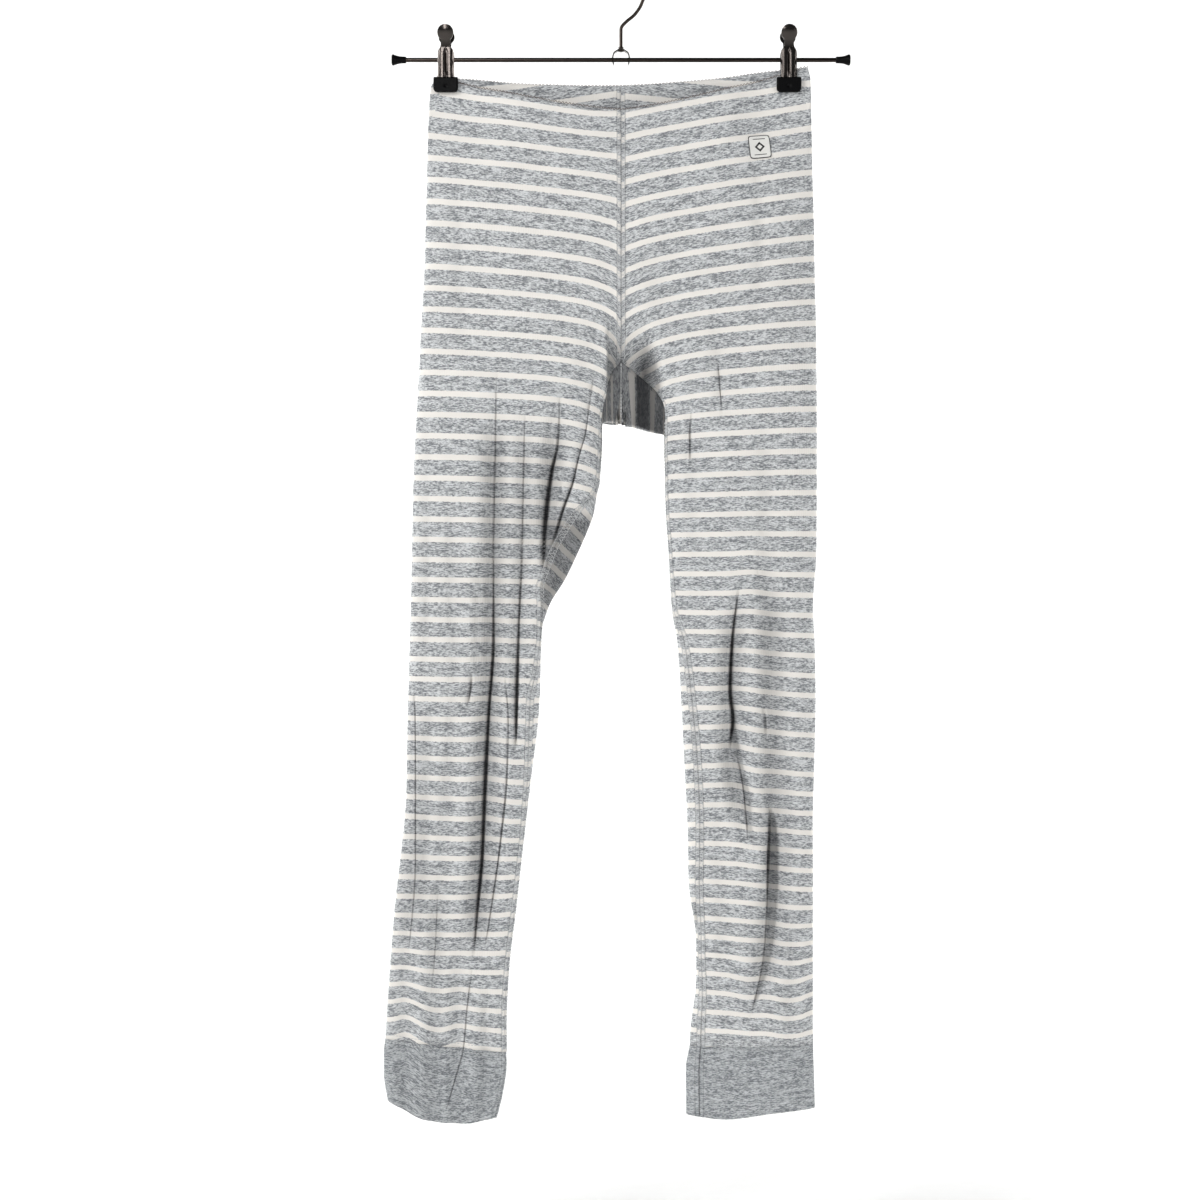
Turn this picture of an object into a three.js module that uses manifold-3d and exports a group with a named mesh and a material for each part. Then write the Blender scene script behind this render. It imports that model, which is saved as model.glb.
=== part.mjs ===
// Striped cotton leggings hanging by the waist from a metal clip hanger.
// Millimetres, +Z up. The front faces -Y and +X is to the viewer's right.
// The origin is the point inside the top of the hook where the hanger bears on its rail.
import * as THREE from 'three';
import { mergeVertices } from 'three/addons/utils/BufferGeometryUtils.js';
import Module from 'manifold-3d';

const wasm = await Module();
wasm.setup();

// Cloth
const WALL = 1.2;
const SEAM_GAP = 0.3;
const SECTION_POWER = 2.4;
const FRONT_DROOP_POWER = 1.35;
const BACK_DROOP_POWER = 1.5;
const WAIST_SIDE_Z = -101.5;
const CROTCH_SIDE_Z = -338;
const CUFF_SEAM_Z = -976;
const WAIST_TILT = 0.027;
const TILT_END_Z = -450;
const CUFF_TILT = { left: 0.06, right: 0 };
const CUFF_TILT_START_Z = -850;

// Columns round each leg piece, and the spacing of its rows
const FRONT_COLUMNS = 13;
const BACK_COLUMNS = 13;
const TORSO_ROWS = 14;
const LEG_ROWS = 22;
const CUFF_ROWS = 3;
const CURVE_STEPS = 60;
const TORSO_CROWDING = 0.45;
const LEG_CROWDING = 0.68;
const LEG_CROWDING_POWER = 0.6;
const FREE_COLUMNS = 2;
const ROUND_SIDES = 16;
const WELD = 1e-4;

// Hanger
const ROD_Z = -90;
const ROD_RADIUS = 2;
const ROD_HALF_LENGTH = 201.4;
const HANGER_HALF_LENGTH = 206.4;
const FIT_GAP = 0.3;
const CLIP_X = { left: -157.5, right: 150.8 };
const HOOK_WIRE_RADIUS = 1.5;
const HOOK_LOOP_RADIUS = 24;

// Label on the right front
const LABEL = { x: 124.2, z: -170, width: 20, height: 21.5, tilt: 0.11, thickness: 1 };

const COLOURS = {
  jersey: 0xb4b7ba,
  cuff: 0x9fa2a6,
  label: 0xf4f3ee,
  chrome: 0xc9cbce,
  darkChrome: 0x5a5550,
  rubber: 0x141414,
};

// Turns rows of numbers into rows with named columns.
function table(names, rows) {
  const keys = names.split(' ');
  return rows.map((row) => Object.fromEntries(keys.map((key, i) => [key, row[i]])));
}

// Width of each leg piece by height: outer fold, inner fold, and how far the inseam
// stands in from the inner fold on the front.
const OUTLINE = {
  right: table('z outer inner inset', [
    [-101, 166, 39.6, 1.5],
    [-112, 170.5, 39.6, 1.5],
    [-155, 171.5, 39.6, 1.5],
    [-240, 173.5, 39.6, 1.5],
    [-330, 175.5, 39.6, 1.5],
    [-425, 176.4, 39.6, 1.5],
    [-480, 176.4, 40, 1.6],
    [-531, 176.2, 43.2, 1.8],
    [-585, 173, 45.9, 3],
    [-612, 174.3, 50.4, 6],
    [-666, 175.5, 54, 9.5],
    [-720, 174.2, 56.7, 11.7],
    [-775, 173, 59.4, 11],
    [-828, 172.8, 60.5, 9.5],
    [-882, 172.8, 67, 5],
    [-920, 172.8, 67, 6],
    [-963, 172.8, 62.1, 9.5],
    [-976, 172.8, 61.5, 10],
  ]),
  left: table('z outer inner inset', [
    [-101, 163, 17, 3],
    [-112, 171.5, 17, 3],
    [-153, 173.7, 17, 3],
    [-260, 176.4, 17, 3],
    [-315, 179.1, 17, 3],
    [-369, 181.8, 17, 3],
    [-425, 185, 17.2, 4],
    [-477, 187.2, 20.5, 16],
    [-500, 187.8, 25, 24],
    [-531, 188.4, 37.8, 24],
    [-558, 189, 50.4, 20],
    [-582, 189.4, 65, 14],
    [-606, 190, 71.5, 11],
    [-666, 192, 73, 9],
    [-747, 193.5, 81.9, 3],
    [-801, 198, 88.2, 1.5],
    [-855, 204, 94.5, 1.5],
    [-909, 208, 100.8, 1.5],
    [-950, 210.5, 103, 1.5],
    [-976, 212, 102.6, 1.5],
  ]),
};

// Cuffs below their seam: outer and inner folds and the height of the hem line
const CUFF_OUTLINE = {
  right: table('z outer inner inset', [
    [-976, 172.8, 61.5, 10],
    [-1000, 173.4, 57.8, 12],
    [-1044, 174.6, 58.2, 12],
  ]),
  left: table('z outer inner inset', [
    [-976, 212, 103, 1.5],
    [-990, 213.3, 102.6, 1.5],
    [-1015, 213.3, 105.5, 1.5],
    [-1044, 210, 112, 1.5],
  ]),
};
const HEM = {
  right: table('across z', [[1, -1032], [0.66, -1036], [0.3, -1041], [0, -1038]]),
  left: table('across z', [[1, -1026], [0.85, -1033], [0.6, -1043], [0.3, -1045], [0, -1041]]),
};

// Depth of the front and back sheets from the plane of the side folds
const DEPTH = table('z front back', [
  [-101, 12, 11],
  [-135, 16, 15],
  [-200, 20, 22],
  [-280, 22, 27],
  [-340, 21, 29],
  [-400, 20, 28],
  [-480, 18, 22],
  [-600, 17, 18],
  [-720, 16, 16],
  [-850, 14, 15],
  [-976, 12, 13],
  [-1044, 12, 12],
]);

// Rows through the torso and crotch, named by their height at the side fold. The front edge
// runs down the centre front seam to the crotch point and then along the inseam. The back
// edge runs down the centre back seam, round the low fold of the seat and up its underside
// to the same point. A turn is the angle, in degrees, that a sheet has bent through from
// the side fold to where it ends, and "up" is the share of the underside climbed.
const RISE = table('side seamZ turn seamRight seamLeft backZ backTurn backRight backLeft up', [
  [-101.5, -135, 90, 0, 0, -111, 90, 0, 0, 0],
  [-140, -168, 90, 0, 0, -150, 90, 0, 0, 0],
  [-190, -216, 90, 0, 0, -212, 93, 0, 0, 0],
  [-240, -263, 92, 0, 0, -278, 100, 0, 0, 0],
  [-285, -307, 96, 0, 0, -342, 113, 0, 0, 0],
  [-315, -337, 104, 0, 0, -397, 138, 0, 0, 0],
  [-328, -350, 111, 0, 0, -420, 178, 0.5, 0.4, 0.02],
  [-338, -360, 120, 0, 0, -421, 180, 6, 4, 1],
  [-350, -371, 140, 11.7, 6, -422, 180, 12, 7, 1],
  [-360, -380, 152, 22, 9, -423, 180, 22, 10, 1],
  [-371, -389, 165, 31.5, 12, -426, 180, 31, 13, 1],
  [-386, -402, 174, 37.5, 15, -433, 180, 37, 15.5, 1],
  [-412, -428, 174, 40, 18, -448, 180, 39.5, 17.5, 1],
  [-445, -454, 174, 41, 21, -466, 180, 39.6, 18.9, 1],
  [-480, -484, 174, 42, 24, -488, 180, 40, 20.5, 1],
  [-500, -500, 174, 42, 24, -500, 180, 40, 20.5, 1],
]);
const SEAT_FOLD_Y = 14;
const SEAT_FOLD_TURN = 9;
const CROTCH_RISE = { y: 2, z: -25 };
const HANDLE_SHARE = 0.4;

// Heights at which a row has fully taken on the leg's own edges, roundness and inner fold
const LEG_BLEND = { start: -371, edges: -400, roundness: -430, fold: -480 };

// Hollow in the front where the four seams meet
const CROTCH_HOLLOW = { x: 9, z: -362, depth: 14, halfWidth: 17, halfHeight: 32 };

// Zone round each clip in which the front and back lie on each other
const PINCH = { halfWidth: 16, low: -122, fadeAcross: 50, fadeDown: 95, y: 1.4 };

// Long soft folds: the line of the bottom of each, its depth and half width
const FOLDS = [
  { leg: 'left', face: 'front', depth: 9, halfWidth: 10,
    line: table('z x', [[-396, -112], [-540, -114], [-680, -119], [-810, -125], [-905, -132]]) },
  { leg: 'left', face: 'front', depth: 9, halfWidth: 11,
    line: table('z x', [[-396, -55], [-470, -63], [-556, -70]]) },
  { leg: 'left', face: 'front', depth: 5, halfWidth: 9,
    line: table('z x', [[-396, -86], [-517, -87], [-670, -94]]) },
  { leg: 'left', face: 'front', depth: 4, halfWidth: 10,
    line: table('z x', [[-660, -185], [-810, -184], [-900, -190]]) },
  { leg: 'left', face: 'back', depth: 7, halfWidth: 11,
    line: table('z x', [[-440, -90], [-600, -110], [-800, -140]]) },
  { leg: 'left', face: 'back', depth: 5, halfWidth: 11,
    line: table('z x', [[-560, -160], [-720, -168], [-930, -172]]) },
  { leg: 'right', face: 'front', depth: 8, halfWidth: 10,
    line: table('z x', [[-560, 107], [-612, 100], [-657, 98], [-702, 98], [-800, 114]]) },
  { leg: 'right', face: 'front', depth: 7, halfWidth: 11,
    line: table('z x', [[-540, 134], [-666, 136], [-801, 138], [-900, 130], [-952, 114]]) },
  { leg: 'right', face: 'back', depth: 7, halfWidth: 11,
    line: table('z x', [[-430, 90], [-600, 98], [-780, 118]]) },
  { leg: 'right', face: 'back', depth: 5, halfWidth: 11,
    line: table('z x', [[-620, 140], [-760, 146], [-940, 132]]) },
];
const FOLD_FADE = 60;

const SIGN = { left: -1, right: 1 };
const radians = THREE.MathUtils.degToRad;
const mix = THREE.MathUtils.lerp;
const smooth = (from, to, at) => THREE.MathUtils.smoothstep((at - from) / (to - from), 0, 1);

// Value of a column at a key that falls from row to row, smooth and without overshoot.
function valueAt(rows, keyName, name, key) {
  const last = rows.length - 1;
  if (key >= rows[0][keyName]) return rows[0][name];
  if (key <= rows[last][keyName]) return rows[last][name];
  const slope = (i) => (rows[i + 1][name] - rows[i][name]) / (rows[i + 1][keyName] - rows[i][keyName]);
  const tangent = (i) => {
    if (i === 0) return slope(0);
    if (i === last) return slope(last - 1);
    const above = slope(i - 1);
    const below = slope(i);
    return above * below <= 0 ? 0 : (2 * above * below) / (above + below);
  };
  let i = 0;
  while (rows[i + 1][keyName] > key) i += 1;
  const span = rows[i + 1][keyName] - rows[i][keyName];
  const t = (key - rows[i][keyName]) / span;
  const start = rows[i][name];
  const end = rows[i + 1][name];
  return start + (end - start) * t * t * (3 - 2 * t)
    + span * t * (1 - t) * ((1 - t) * tangent(i) - t * tangent(i + 1));
}

// Signed powers of cosine and sine, which give a flat section with rounded ends
const bent = (value) => Math.sign(value) * Math.abs(value) ** (2 / SECTION_POWER);
const across = (angle) => bent(Math.cos(angle));
const deep = (angle) => bent(Math.sin(angle));

// Everything that one row of a leg piece needs, from its height at the side fold.
function rowAt(leg, side, outline = OUTLINE[leg]) {
  const seamColumn = leg === 'right' ? 'seamRight' : 'seamLeft';
  const backColumn = leg === 'right' ? 'backRight' : 'backLeft';
  const onLeg = side < RISE.at(-1).side;
  const rise = (name) => valueAt(RISE, 'side', name, side);
  const seamZ = onLeg ? side : rise('seamZ');
  const backZ = onLeg ? side : rise('backZ');
  const outer = valueAt(outline, 'z', 'outer', side);
  const inner = valueAt(outline, 'z', 'inner', backZ);
  const inset = valueAt(outline, 'z', 'inset', seamZ);
  const legShare = smooth(LEG_BLEND.start, LEG_BLEND.edges, side);
  const legTurn = Math.PI - Math.acos((1 - (2 * inset) / (outer - inner)) ** (SECTION_POWER / 2));
  return {
    side,
    outer,
    seamZ,
    backZ,
    seamX: mix(rise(seamColumn), inner + inset, legShare),
    backX: mix(rise(backColumn), inner, legShare),
    turn: mix(radians(rise('turn')), legTurn, legShare),
    backTurn: radians(rise('backTurn')),
    up: rise('up'),
    front: valueAt(DEPTH, 'z', 'front', side),
    back: valueAt(DEPTH, 'z', 'back', side),
    foldY: SEAT_FOLD_Y * (1 - smooth(LEG_BLEND.start, LEG_BLEND.fold, side)),
    roundness: smooth(LEG_BLEND.start, LEG_BLEND.roundness, side),
  };
}

// The hollow at the crotch pushes the front sheet back.
function hollow(sign, x, z) {
  const dx = (sign * x - CROTCH_HOLLOW.x) / CROTCH_HOLLOW.halfWidth;
  const dz = (z - CROTCH_HOLLOW.z) / CROTCH_HOLLOW.halfHeight;
  return CROTCH_HOLLOW.depth * Math.exp(-dx * dx - dz * dz);
}

function frontPoint(row, sign, angle) {
  const x = row.outer + ((row.seamX - row.outer) * (1 - across(angle))) / (1 - across(row.turn));
  const share = Math.max(0, (x - row.seamX) / (row.outer - row.seamX));
  const z = mix(row.seamZ, row.side, share ** FRONT_DROOP_POWER);
  return new THREE.Vector3(x, -row.front * deep(angle) + hollow(sign, x, z), z);
}

function backPoint(row, angle) {
  const x = row.outer + ((row.backX - row.outer) * (1 - across(angle))) / (1 - across(row.backTurn));
  const share = Math.max(0, (x - row.backX) / (row.outer - row.backX));
  const z = mix(row.backZ, row.side, share ** BACK_DROOP_POWER);
  const floor = angle > Math.PI / 2 ? row.foldY : 0;
  return new THREE.Vector3(x, floor + (row.back - floor) * deep(angle), z);
}

// From the low fold of the seat, or the inner fold of the leg, forward to the seam.
function underside(row, sign, fold, firstFront) {
  const seamEnd = row.up < 1 ? crotchPoint(sign) : firstFront[0];
  const distance = fold.distanceTo(seamEnd);
  const along = new THREE.Vector3().subVectors(firstFront[0], firstFront[1]).normalize();
  const leave = fold.clone();
  leave.y -= mix(SEAT_FOLD_TURN, HANDLE_SHARE * distance, row.roundness);
  const arrive = new THREE.Vector3(0, CROTCH_RISE.y, CROTCH_RISE.z)
    .lerp(along.multiplyScalar(HANDLE_SHARE * distance), row.roundness)
    .add(seamEnd);
  const curve = new THREE.CubicBezierCurve3(fold, leave, arrive, seamEnd);
  const endX = row.up < 1 ? 0 : seamEnd.x;
  const points = [];
  for (let i = 1; i <= CURVE_STEPS; i += 1) {
    const share = i / CURVE_STEPS;
    const point = curve.getPoint(share * row.up);
    point.x = mix(mix(fold.x, endX, share * share * (3 - 2 * share)), point.x, row.roundness);
    points.push(point);
  }
  return points;
}

function crotchPoint(sign) {
  const row = rowAt(sign > 0 ? 'right' : 'left', CROTCH_SIDE_Z);
  return frontPoint(row, sign, row.turn);
}

// Shortens a line at its start and gives points at equal steps along what is left.
function resample(points, count, trim) {
  const lengths = [0];
  for (let i = 1; i < points.length; i += 1) {
    lengths.push(lengths[i - 1] + points[i].distanceTo(points[i - 1]));
  }
  const total = lengths.at(-1);
  const result = [];
  let k = 0;
  for (let i = 0; i <= count; i += 1) {
    const target = trim + ((total - trim) * i) / count;
    while (k < lengths.length - 2 && lengths[k + 1] < target) k += 1;
    const span = lengths[k + 1] - lengths[k] || 1;
    result.push(points[k].clone().lerp(points[k + 1], (target - lengths[k]) / span));
  }
  return result;
}

function pinchShare(x, z) {
  let share = 0;
  for (const clip of Object.values(CLIP_X)) {
    const dx = Math.max(0, Math.abs(x - clip) - PINCH.halfWidth) / PINCH.fadeAcross;
    const dz = Math.max(0, PINCH.low - z) / PINCH.fadeDown;
    share = Math.max(share, 1 - smooth(0, 1, Math.hypot(dx, dz)));
  }
  return share;
}

function foldDepth(leg, face, x, z) {
  let depth = 0;
  for (const fold of FOLDS) {
    if (fold.leg !== leg || fold.face !== face) continue;
    const top = fold.line[0].z;
    const bottom = fold.line.at(-1).z;
    const ends = smooth(top, top - FOLD_FADE, z) * smooth(bottom, bottom + FOLD_FADE, z);
    const distance = (x - valueAt(fold.line, 'z', 'x', z)) / fold.halfWidth;
    depth += fold.depth * ends * Math.exp(-distance * distance);
  }
  return depth;
}

// The left cuff's seam falls a little towards the middle.
function cuffFall(leg, x) {
  const { outer, inner } = OUTLINE[leg].at(-1);
  return CUFF_TILT[leg] * (Math.abs(x) - (outer + inner) / 2);
}

// Settles one point: mirrors it for the left leg, presses it in at the folds, pinches it
// at the clips and tilts the waist, which hangs a little higher on the right.
function settle(point, leg, flatness) {
  const sign = SIGN[leg];
  point.z += cuffFall(leg, point.x) * smooth(CUFF_TILT_START_Z, CUFF_SEAM_Z, point.z);
  point.x *= sign;
  const face = point.y < 0 ? 'front' : 'back';
  const pressed = foldDepth(leg, face, point.x, point.z) * flatness;
  point.y += point.y < 0 ? pressed : -pressed;
  const pinched = PINCH.y * flatness * Math.sign(point.y);
  point.y = mix(point.y, pinched, pinchShare(point.x, point.z));
  point.z += WAIST_TILT * point.x * smooth(TILT_END_Z, WAIST_SIDE_Z, point.z);
  return point;
}

// Points across one row from the front edge, round the side fold, to the back edge.
function rowPoints(leg, side, columns, outline) {
  const sign = SIGN[leg];
  const row = rowAt(leg, side, outline);
  const sweep = (point, from, to) => Array.from({ length: CURVE_STEPS + 1 }, (_, i) => (
    point(mix(from, to, i / CURVE_STEPS))));
  const front = sweep((angle) => frontPoint(row, sign, angle), row.turn, 0);
  const back = sweep((angle) => backPoint(row, angle), 0, row.backTurn);
  if (row.up > 0) back.push(...underside(row, sign, back.at(-1), front));
  const trim = side > CROTCH_SIDE_Z ? 0 : SEAM_GAP / 2;
  const fromSeam = resample(front, columns.front, trim);
  const fromBackEdge = resample(back.reverse(), columns.back, trim).reverse();
  const points = [...fromSeam, ...fromBackEdge.slice(1)];
  return points.map((point, j) => {
    if (side >= CROTCH_SIDE_Z) point.x = Math.max(point.x, SEAM_GAP / 2);
    const fromSide = Math.min(1, Math.abs(j - columns.front) / FREE_COLUMNS);
    const fromEdge = Math.min(1, Math.min(j, points.length - 1 - j) / FREE_COLUMNS);
    return settle(point, leg, side < CROTCH_SIDE_Z ? fromSide * fromEdge : fromSide);
  });
}

function stations() {
  const torso = Array.from({ length: TORSO_ROWS + 1 }, (_, i) => {
    const share = i / TORSO_ROWS;
    return mix(WAIST_SIDE_Z, CROTCH_SIDE_Z, share * (1 + TORSO_CROWDING * (1 - share)));
  });
  const leg = Array.from({ length: LEG_ROWS }, (_, i) => {
    const share = (i + 1) / LEG_ROWS;
    const spread = 1 - LEG_CROWDING + LEG_CROWDING * share ** LEG_CROWDING_POWER;
    return mix(CROTCH_SIDE_Z, CUFF_SEAM_Z, share * spread);
  });
  return [...torso, ...leg];
}

// Outward direction at each point of a grid of rows.
function normals(grid, sign) {
  return grid.map((row, i) => row.map((_, j) => {
    const up = grid[Math.max(0, i - 1)][j];
    const down = grid[Math.min(grid.length - 1, i + 1)][j];
    const before = row[Math.max(0, j - 1)];
    const after = row[Math.min(row.length - 1, j + 1)];
    const fall = new THREE.Vector3().subVectors(down, up);
    const step = new THREE.Vector3().subVectors(after, before);
    return fall.cross(step).multiplyScalar(sign).normalize();
  }));
}

function moved(grid, directions, distance) {
  return grid.map((row, i) => row.map((point, j) => (
    point.clone().addScaledVector(directions[i][j], distance))));
}

// A closed wall between two grids of points.
function wall(outer, inner) {
  const rows = outer.length;
  const columns = outer[0].length;
  const o = (i, j) => i * columns + j;
  const n = (i, j) => rows * columns + i * columns + j;
  const index = [];
  const quad = (a, b, c, d) => index.push(a, b, c, a, c, d);
  for (let i = 0; i < rows - 1; i += 1) {
    for (let j = 0; j < columns - 1; j += 1) {
      quad(o(i, j), o(i + 1, j), o(i + 1, j + 1), o(i, j + 1));
      quad(n(i, j), n(i, j + 1), n(i + 1, j + 1), n(i + 1, j));
    }
  }
  const bottom = rows - 1;
  const end = columns - 1;
  for (let j = 0; j < end; j += 1) {
    quad(o(0, j), o(0, j + 1), n(0, j + 1), n(0, j));
    quad(o(bottom, j), n(bottom, j), n(bottom, j + 1), o(bottom, j + 1));
  }
  for (let i = 0; i < bottom; i += 1) {
    quad(o(i, 0), n(i, 0), n(i + 1, 0), o(i + 1, 0));
    quad(o(i, end), o(i + 1, end), n(i + 1, end), n(i, end));
  }
  const points = [...outer.flat(), ...inner.flat()];
  const geometry = new THREE.BufferGeometry().setFromPoints(points);
  geometry.setIndex(volume(points, index) < 0 ? index.reverse() : index);
  return geometry;
}

function volume(points, index) {
  let sum = 0;
  for (let i = 0; i < index.length; i += 3) {
    const [a, b, c] = [points[index[i]], points[index[i + 1]], points[index[i + 2]]];
    sum += a.dot(new THREE.Vector3().crossVectors(b, c));
  }
  return sum / 6;
}

function bare(geometry) {
  const plain = geometry.clone();
  plain.deleteAttribute('normal');
  plain.deleteAttribute('uv');
  return mergeVertices(plain, WELD);
}

// Turns the faces of a closed surface outwards.
function outward(geometry) {
  const plain = bare(geometry);
  const position = plain.getAttribute('position');
  const points = Array.from({ length: position.count }, (_, i) => (
    new THREE.Vector3().fromBufferAttribute(position, i)));
  const index = Array.from(plain.index.array);
  const faces = [];
  for (let i = 0; i < index.length; i += 3) {
    const [a, b, c] = index.slice(i, i + 3);
    if (a !== b && b !== c && c !== a) faces.push(a, b, c);
  }
  plain.setIndex(volume(points, faces) < 0 ? faces.reverse() : faces);
  return plain;
}

function toSolid(geometry) {
  const plain = outward(geometry);
  const mesh = new wasm.Mesh({
    numProp: 3,
    vertProperties: Float32Array.from(plain.getAttribute('position').array),
    triVerts: Uint32Array.from(plain.index.array),
  });
  return new wasm.Manifold(mesh);
}

function fromSolid(solid) {
  const mesh = solid.getMesh();
  const geometry = new THREE.BufferGeometry();
  geometry.setAttribute('position', new THREE.BufferAttribute(mesh.vertProperties, mesh.numProp));
  geometry.setIndex(Array.from(mesh.triVerts));
  return geometry;
}

const model = new THREE.Group();

function add(name, geometry, colour, roughness, metalness) {
  const material = new THREE.MeshStandardMaterial({ color: colour, roughness, metalness });
  const mesh = new THREE.Mesh(geometry, material);
  mesh.name = name;
  model.add(mesh);
  return mesh;
}

// Leg pieces, each cut in one with its half of the seat
function legGrid(leg) {
  const columns = { front: FRONT_COLUMNS, back: BACK_COLUMNS };
  return stations().map((side) => rowPoints(leg, side, columns));
}

// The two edges of a leg piece share one direction along the inseam, and lie square to
// the middle plane along the centre seams.
function squareEdges(directions, sides) {
  directions.forEach((row, i) => {
    const ends = [row[0], row.at(-1)];
    if (sides[i] >= CROTCH_SIDE_Z) {
      ends.forEach((end) => end.setX(0).normalize());
    }
    if (sides[i] <= CROTCH_SIDE_Z) {
      const shared = ends[0].clone().add(ends[1]).normalize();
      ends.forEach((end) => end.copy(shared));
    }
  });
  return directions;
}

const legGrids = { left: legGrid('left'), right: legGrid('right') };
for (const [leg, grid] of Object.entries(legGrids)) {
  const directions = squareEdges(normals(grid, SIGN[leg]), stations());
  add(`leg_${leg}`, wall(grid, moved(grid, directions, -WALL)), COLOURS.jersey, 0.9, 0);
}

// Plain cuffs, each a band from the cuff seam to a hem that dips in the middle
function cuffGrid(leg) {
  const outline = CUFF_OUTLINE[leg];
  const hemSide = outline.at(-1).z;
  const columns = { front: FRONT_COLUMNS, back: BACK_COLUMNS };
  const grid = [];
  for (let i = 0; i <= CUFF_ROWS; i += 1) {
    const share = i / CUFF_ROWS;
    const side = mix(CUFF_SEAM_Z, hemSide, share);
    const outer = valueAt(outline, 'z', 'outer', side);
    const inner = valueAt(outline, 'z', 'inner', side);
    const points = rowPoints(leg, side, columns, outline);
    grid.push(points.map((point) => {
      const reach = (Math.abs(point.x) - inner) / (outer - inner);
      const top = CUFF_SEAM_Z - SEAM_GAP + cuffFall(leg, point.x);
      return point.setZ(mix(top, valueAt(HEM[leg], 'across', 'z', reach), share));
    }));
  }
  return grid;
}

for (const leg of ['left', 'right']) {
  const grid = cuffGrid(leg);
  const sides = grid.map(() => CUFF_SEAM_Z);
  const directions = squareEdges(normals(grid, SIGN[leg]), sides);
  add(`cuff_${leg}`, wall(grid, moved(grid, directions, -WALL)), COLOURS.cuff, 0.92, 0);
}

// Woven label, laid on the right front from that panel's own facets
function onPanel(grid, x, z) {
  for (let i = 0; i < grid.length - 1; i += 1) {
    for (let j = 0; j < FRONT_COLUMNS; j += 1) {
      const corners = [grid[i][j], grid[i + 1][j], grid[i + 1][j + 1], grid[i][j + 1]];
      for (const facet of [[0, 1, 2], [0, 2, 3]]) {
        const [a, b, c] = facet.map((k) => corners[k]);
        const area = (b.x - a.x) * (c.z - a.z) - (c.x - a.x) * (b.z - a.z);
        const v = ((x - a.x) * (c.z - a.z) - (c.x - a.x) * (z - a.z)) / area;
        const w = ((b.x - a.x) * (z - a.z) - (x - a.x) * (b.z - a.z)) / area;
        if (v >= 0 && w >= 0 && v + w <= 1) {
          return new THREE.Vector3(x, a.y + v * (b.y - a.y) + w * (c.y - a.y), z);
        }
      }
    }
  }
  throw new Error('the label lies off its panel');
}

function labelGrid(lift) {
  const cells = 4;
  const grid = [];
  for (let i = 0; i <= cells; i += 1) {
    const row = [];
    for (let j = 0; j <= cells; j += 1) {
      const u = (j / cells - 0.5) * LABEL.width;
      const v = (0.5 - i / cells) * LABEL.height;
      const x = LABEL.x + u * Math.cos(LABEL.tilt) - v * Math.sin(LABEL.tilt);
      const z = LABEL.z + u * Math.sin(LABEL.tilt) + v * Math.cos(LABEL.tilt);
      const point = onPanel(legGrids.right, x, z);
      point.y -= lift;
      row.push(point);
    }
    grid.push(row);
  }
  return grid;
}

add('label', wall(labelGrid(SEAM_GAP + LABEL.thickness), labelGrid(SEAM_GAP)), COLOURS.label, 0.8, 0);

// Hanger rod with a rubber cap on each end
function rodAlongX(radius, length) {
  return new THREE.CylinderGeometry(radius, radius, length, ROUND_SIDES).rotateZ(Math.PI / 2);
}

add('hanger_rod', rodAlongX(ROD_RADIUS, 2 * ROD_HALF_LENGTH), COLOURS.darkChrome, 0.2, 1)
  .position.z = ROD_Z;

// Profile of a cap, from its mouth on the rod to its rounded end
const CAP = table('from radius', [[0, 3], [6, 3.2], [10, 4.4], [11.4, 5], [12.6, 4.5], [13, 3]]);
const CAP_LENGTH = CAP.at(-1).from;

function capGeometry() {
  const mouth = HANGER_HALF_LENGTH - CAP_LENGTH;
  const boreEnd = ROD_HALF_LENGTH + FIT_GAP - mouth;
  const bore = ROD_RADIUS + FIT_GAP;
  const profile = [
    new THREE.Vector2(0, boreEnd),
    new THREE.Vector2(bore, boreEnd),
    new THREE.Vector2(bore, 0),
    ...CAP.map((row) => new THREE.Vector2(row.radius, row.from)),
    new THREE.Vector2(0, CAP_LENGTH),
  ];
  return outward(new THREE.LatheGeometry(profile, ROUND_SIDES).translate(0, mouth, 0));
}

for (const [side, sign] of Object.entries(SIGN)) {
  const cap = add(`rod_cap_${side}`, capGeometry(), COLOURS.rubber, 0.6, 0);
  cap.rotation.z = -sign * Math.PI / 2;
  cap.position.z = ROD_Z;
}

// Bracket that hangs the rod from the hook, a bent strap with the rod through both legs
const BRACKET = {
  halfWidth: 7.9,
  strap: 1.4,
  topZ: -79.7,
  shoulderZ: -85.5,
  footZ: -94.8,
  flat: 2.8,
  sag: 1.8,
  depth: 7,
};
const STEM_HOLE = HOOK_WIRE_RADIUS + FIT_GAP;

function disc(radius, height, z) {
  return new THREE.CylinderGeometry(radius, radius, height, ROUND_SIDES)
    .rotateX(Math.PI / 2)
    .translate(0, 0, z);
}

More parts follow.
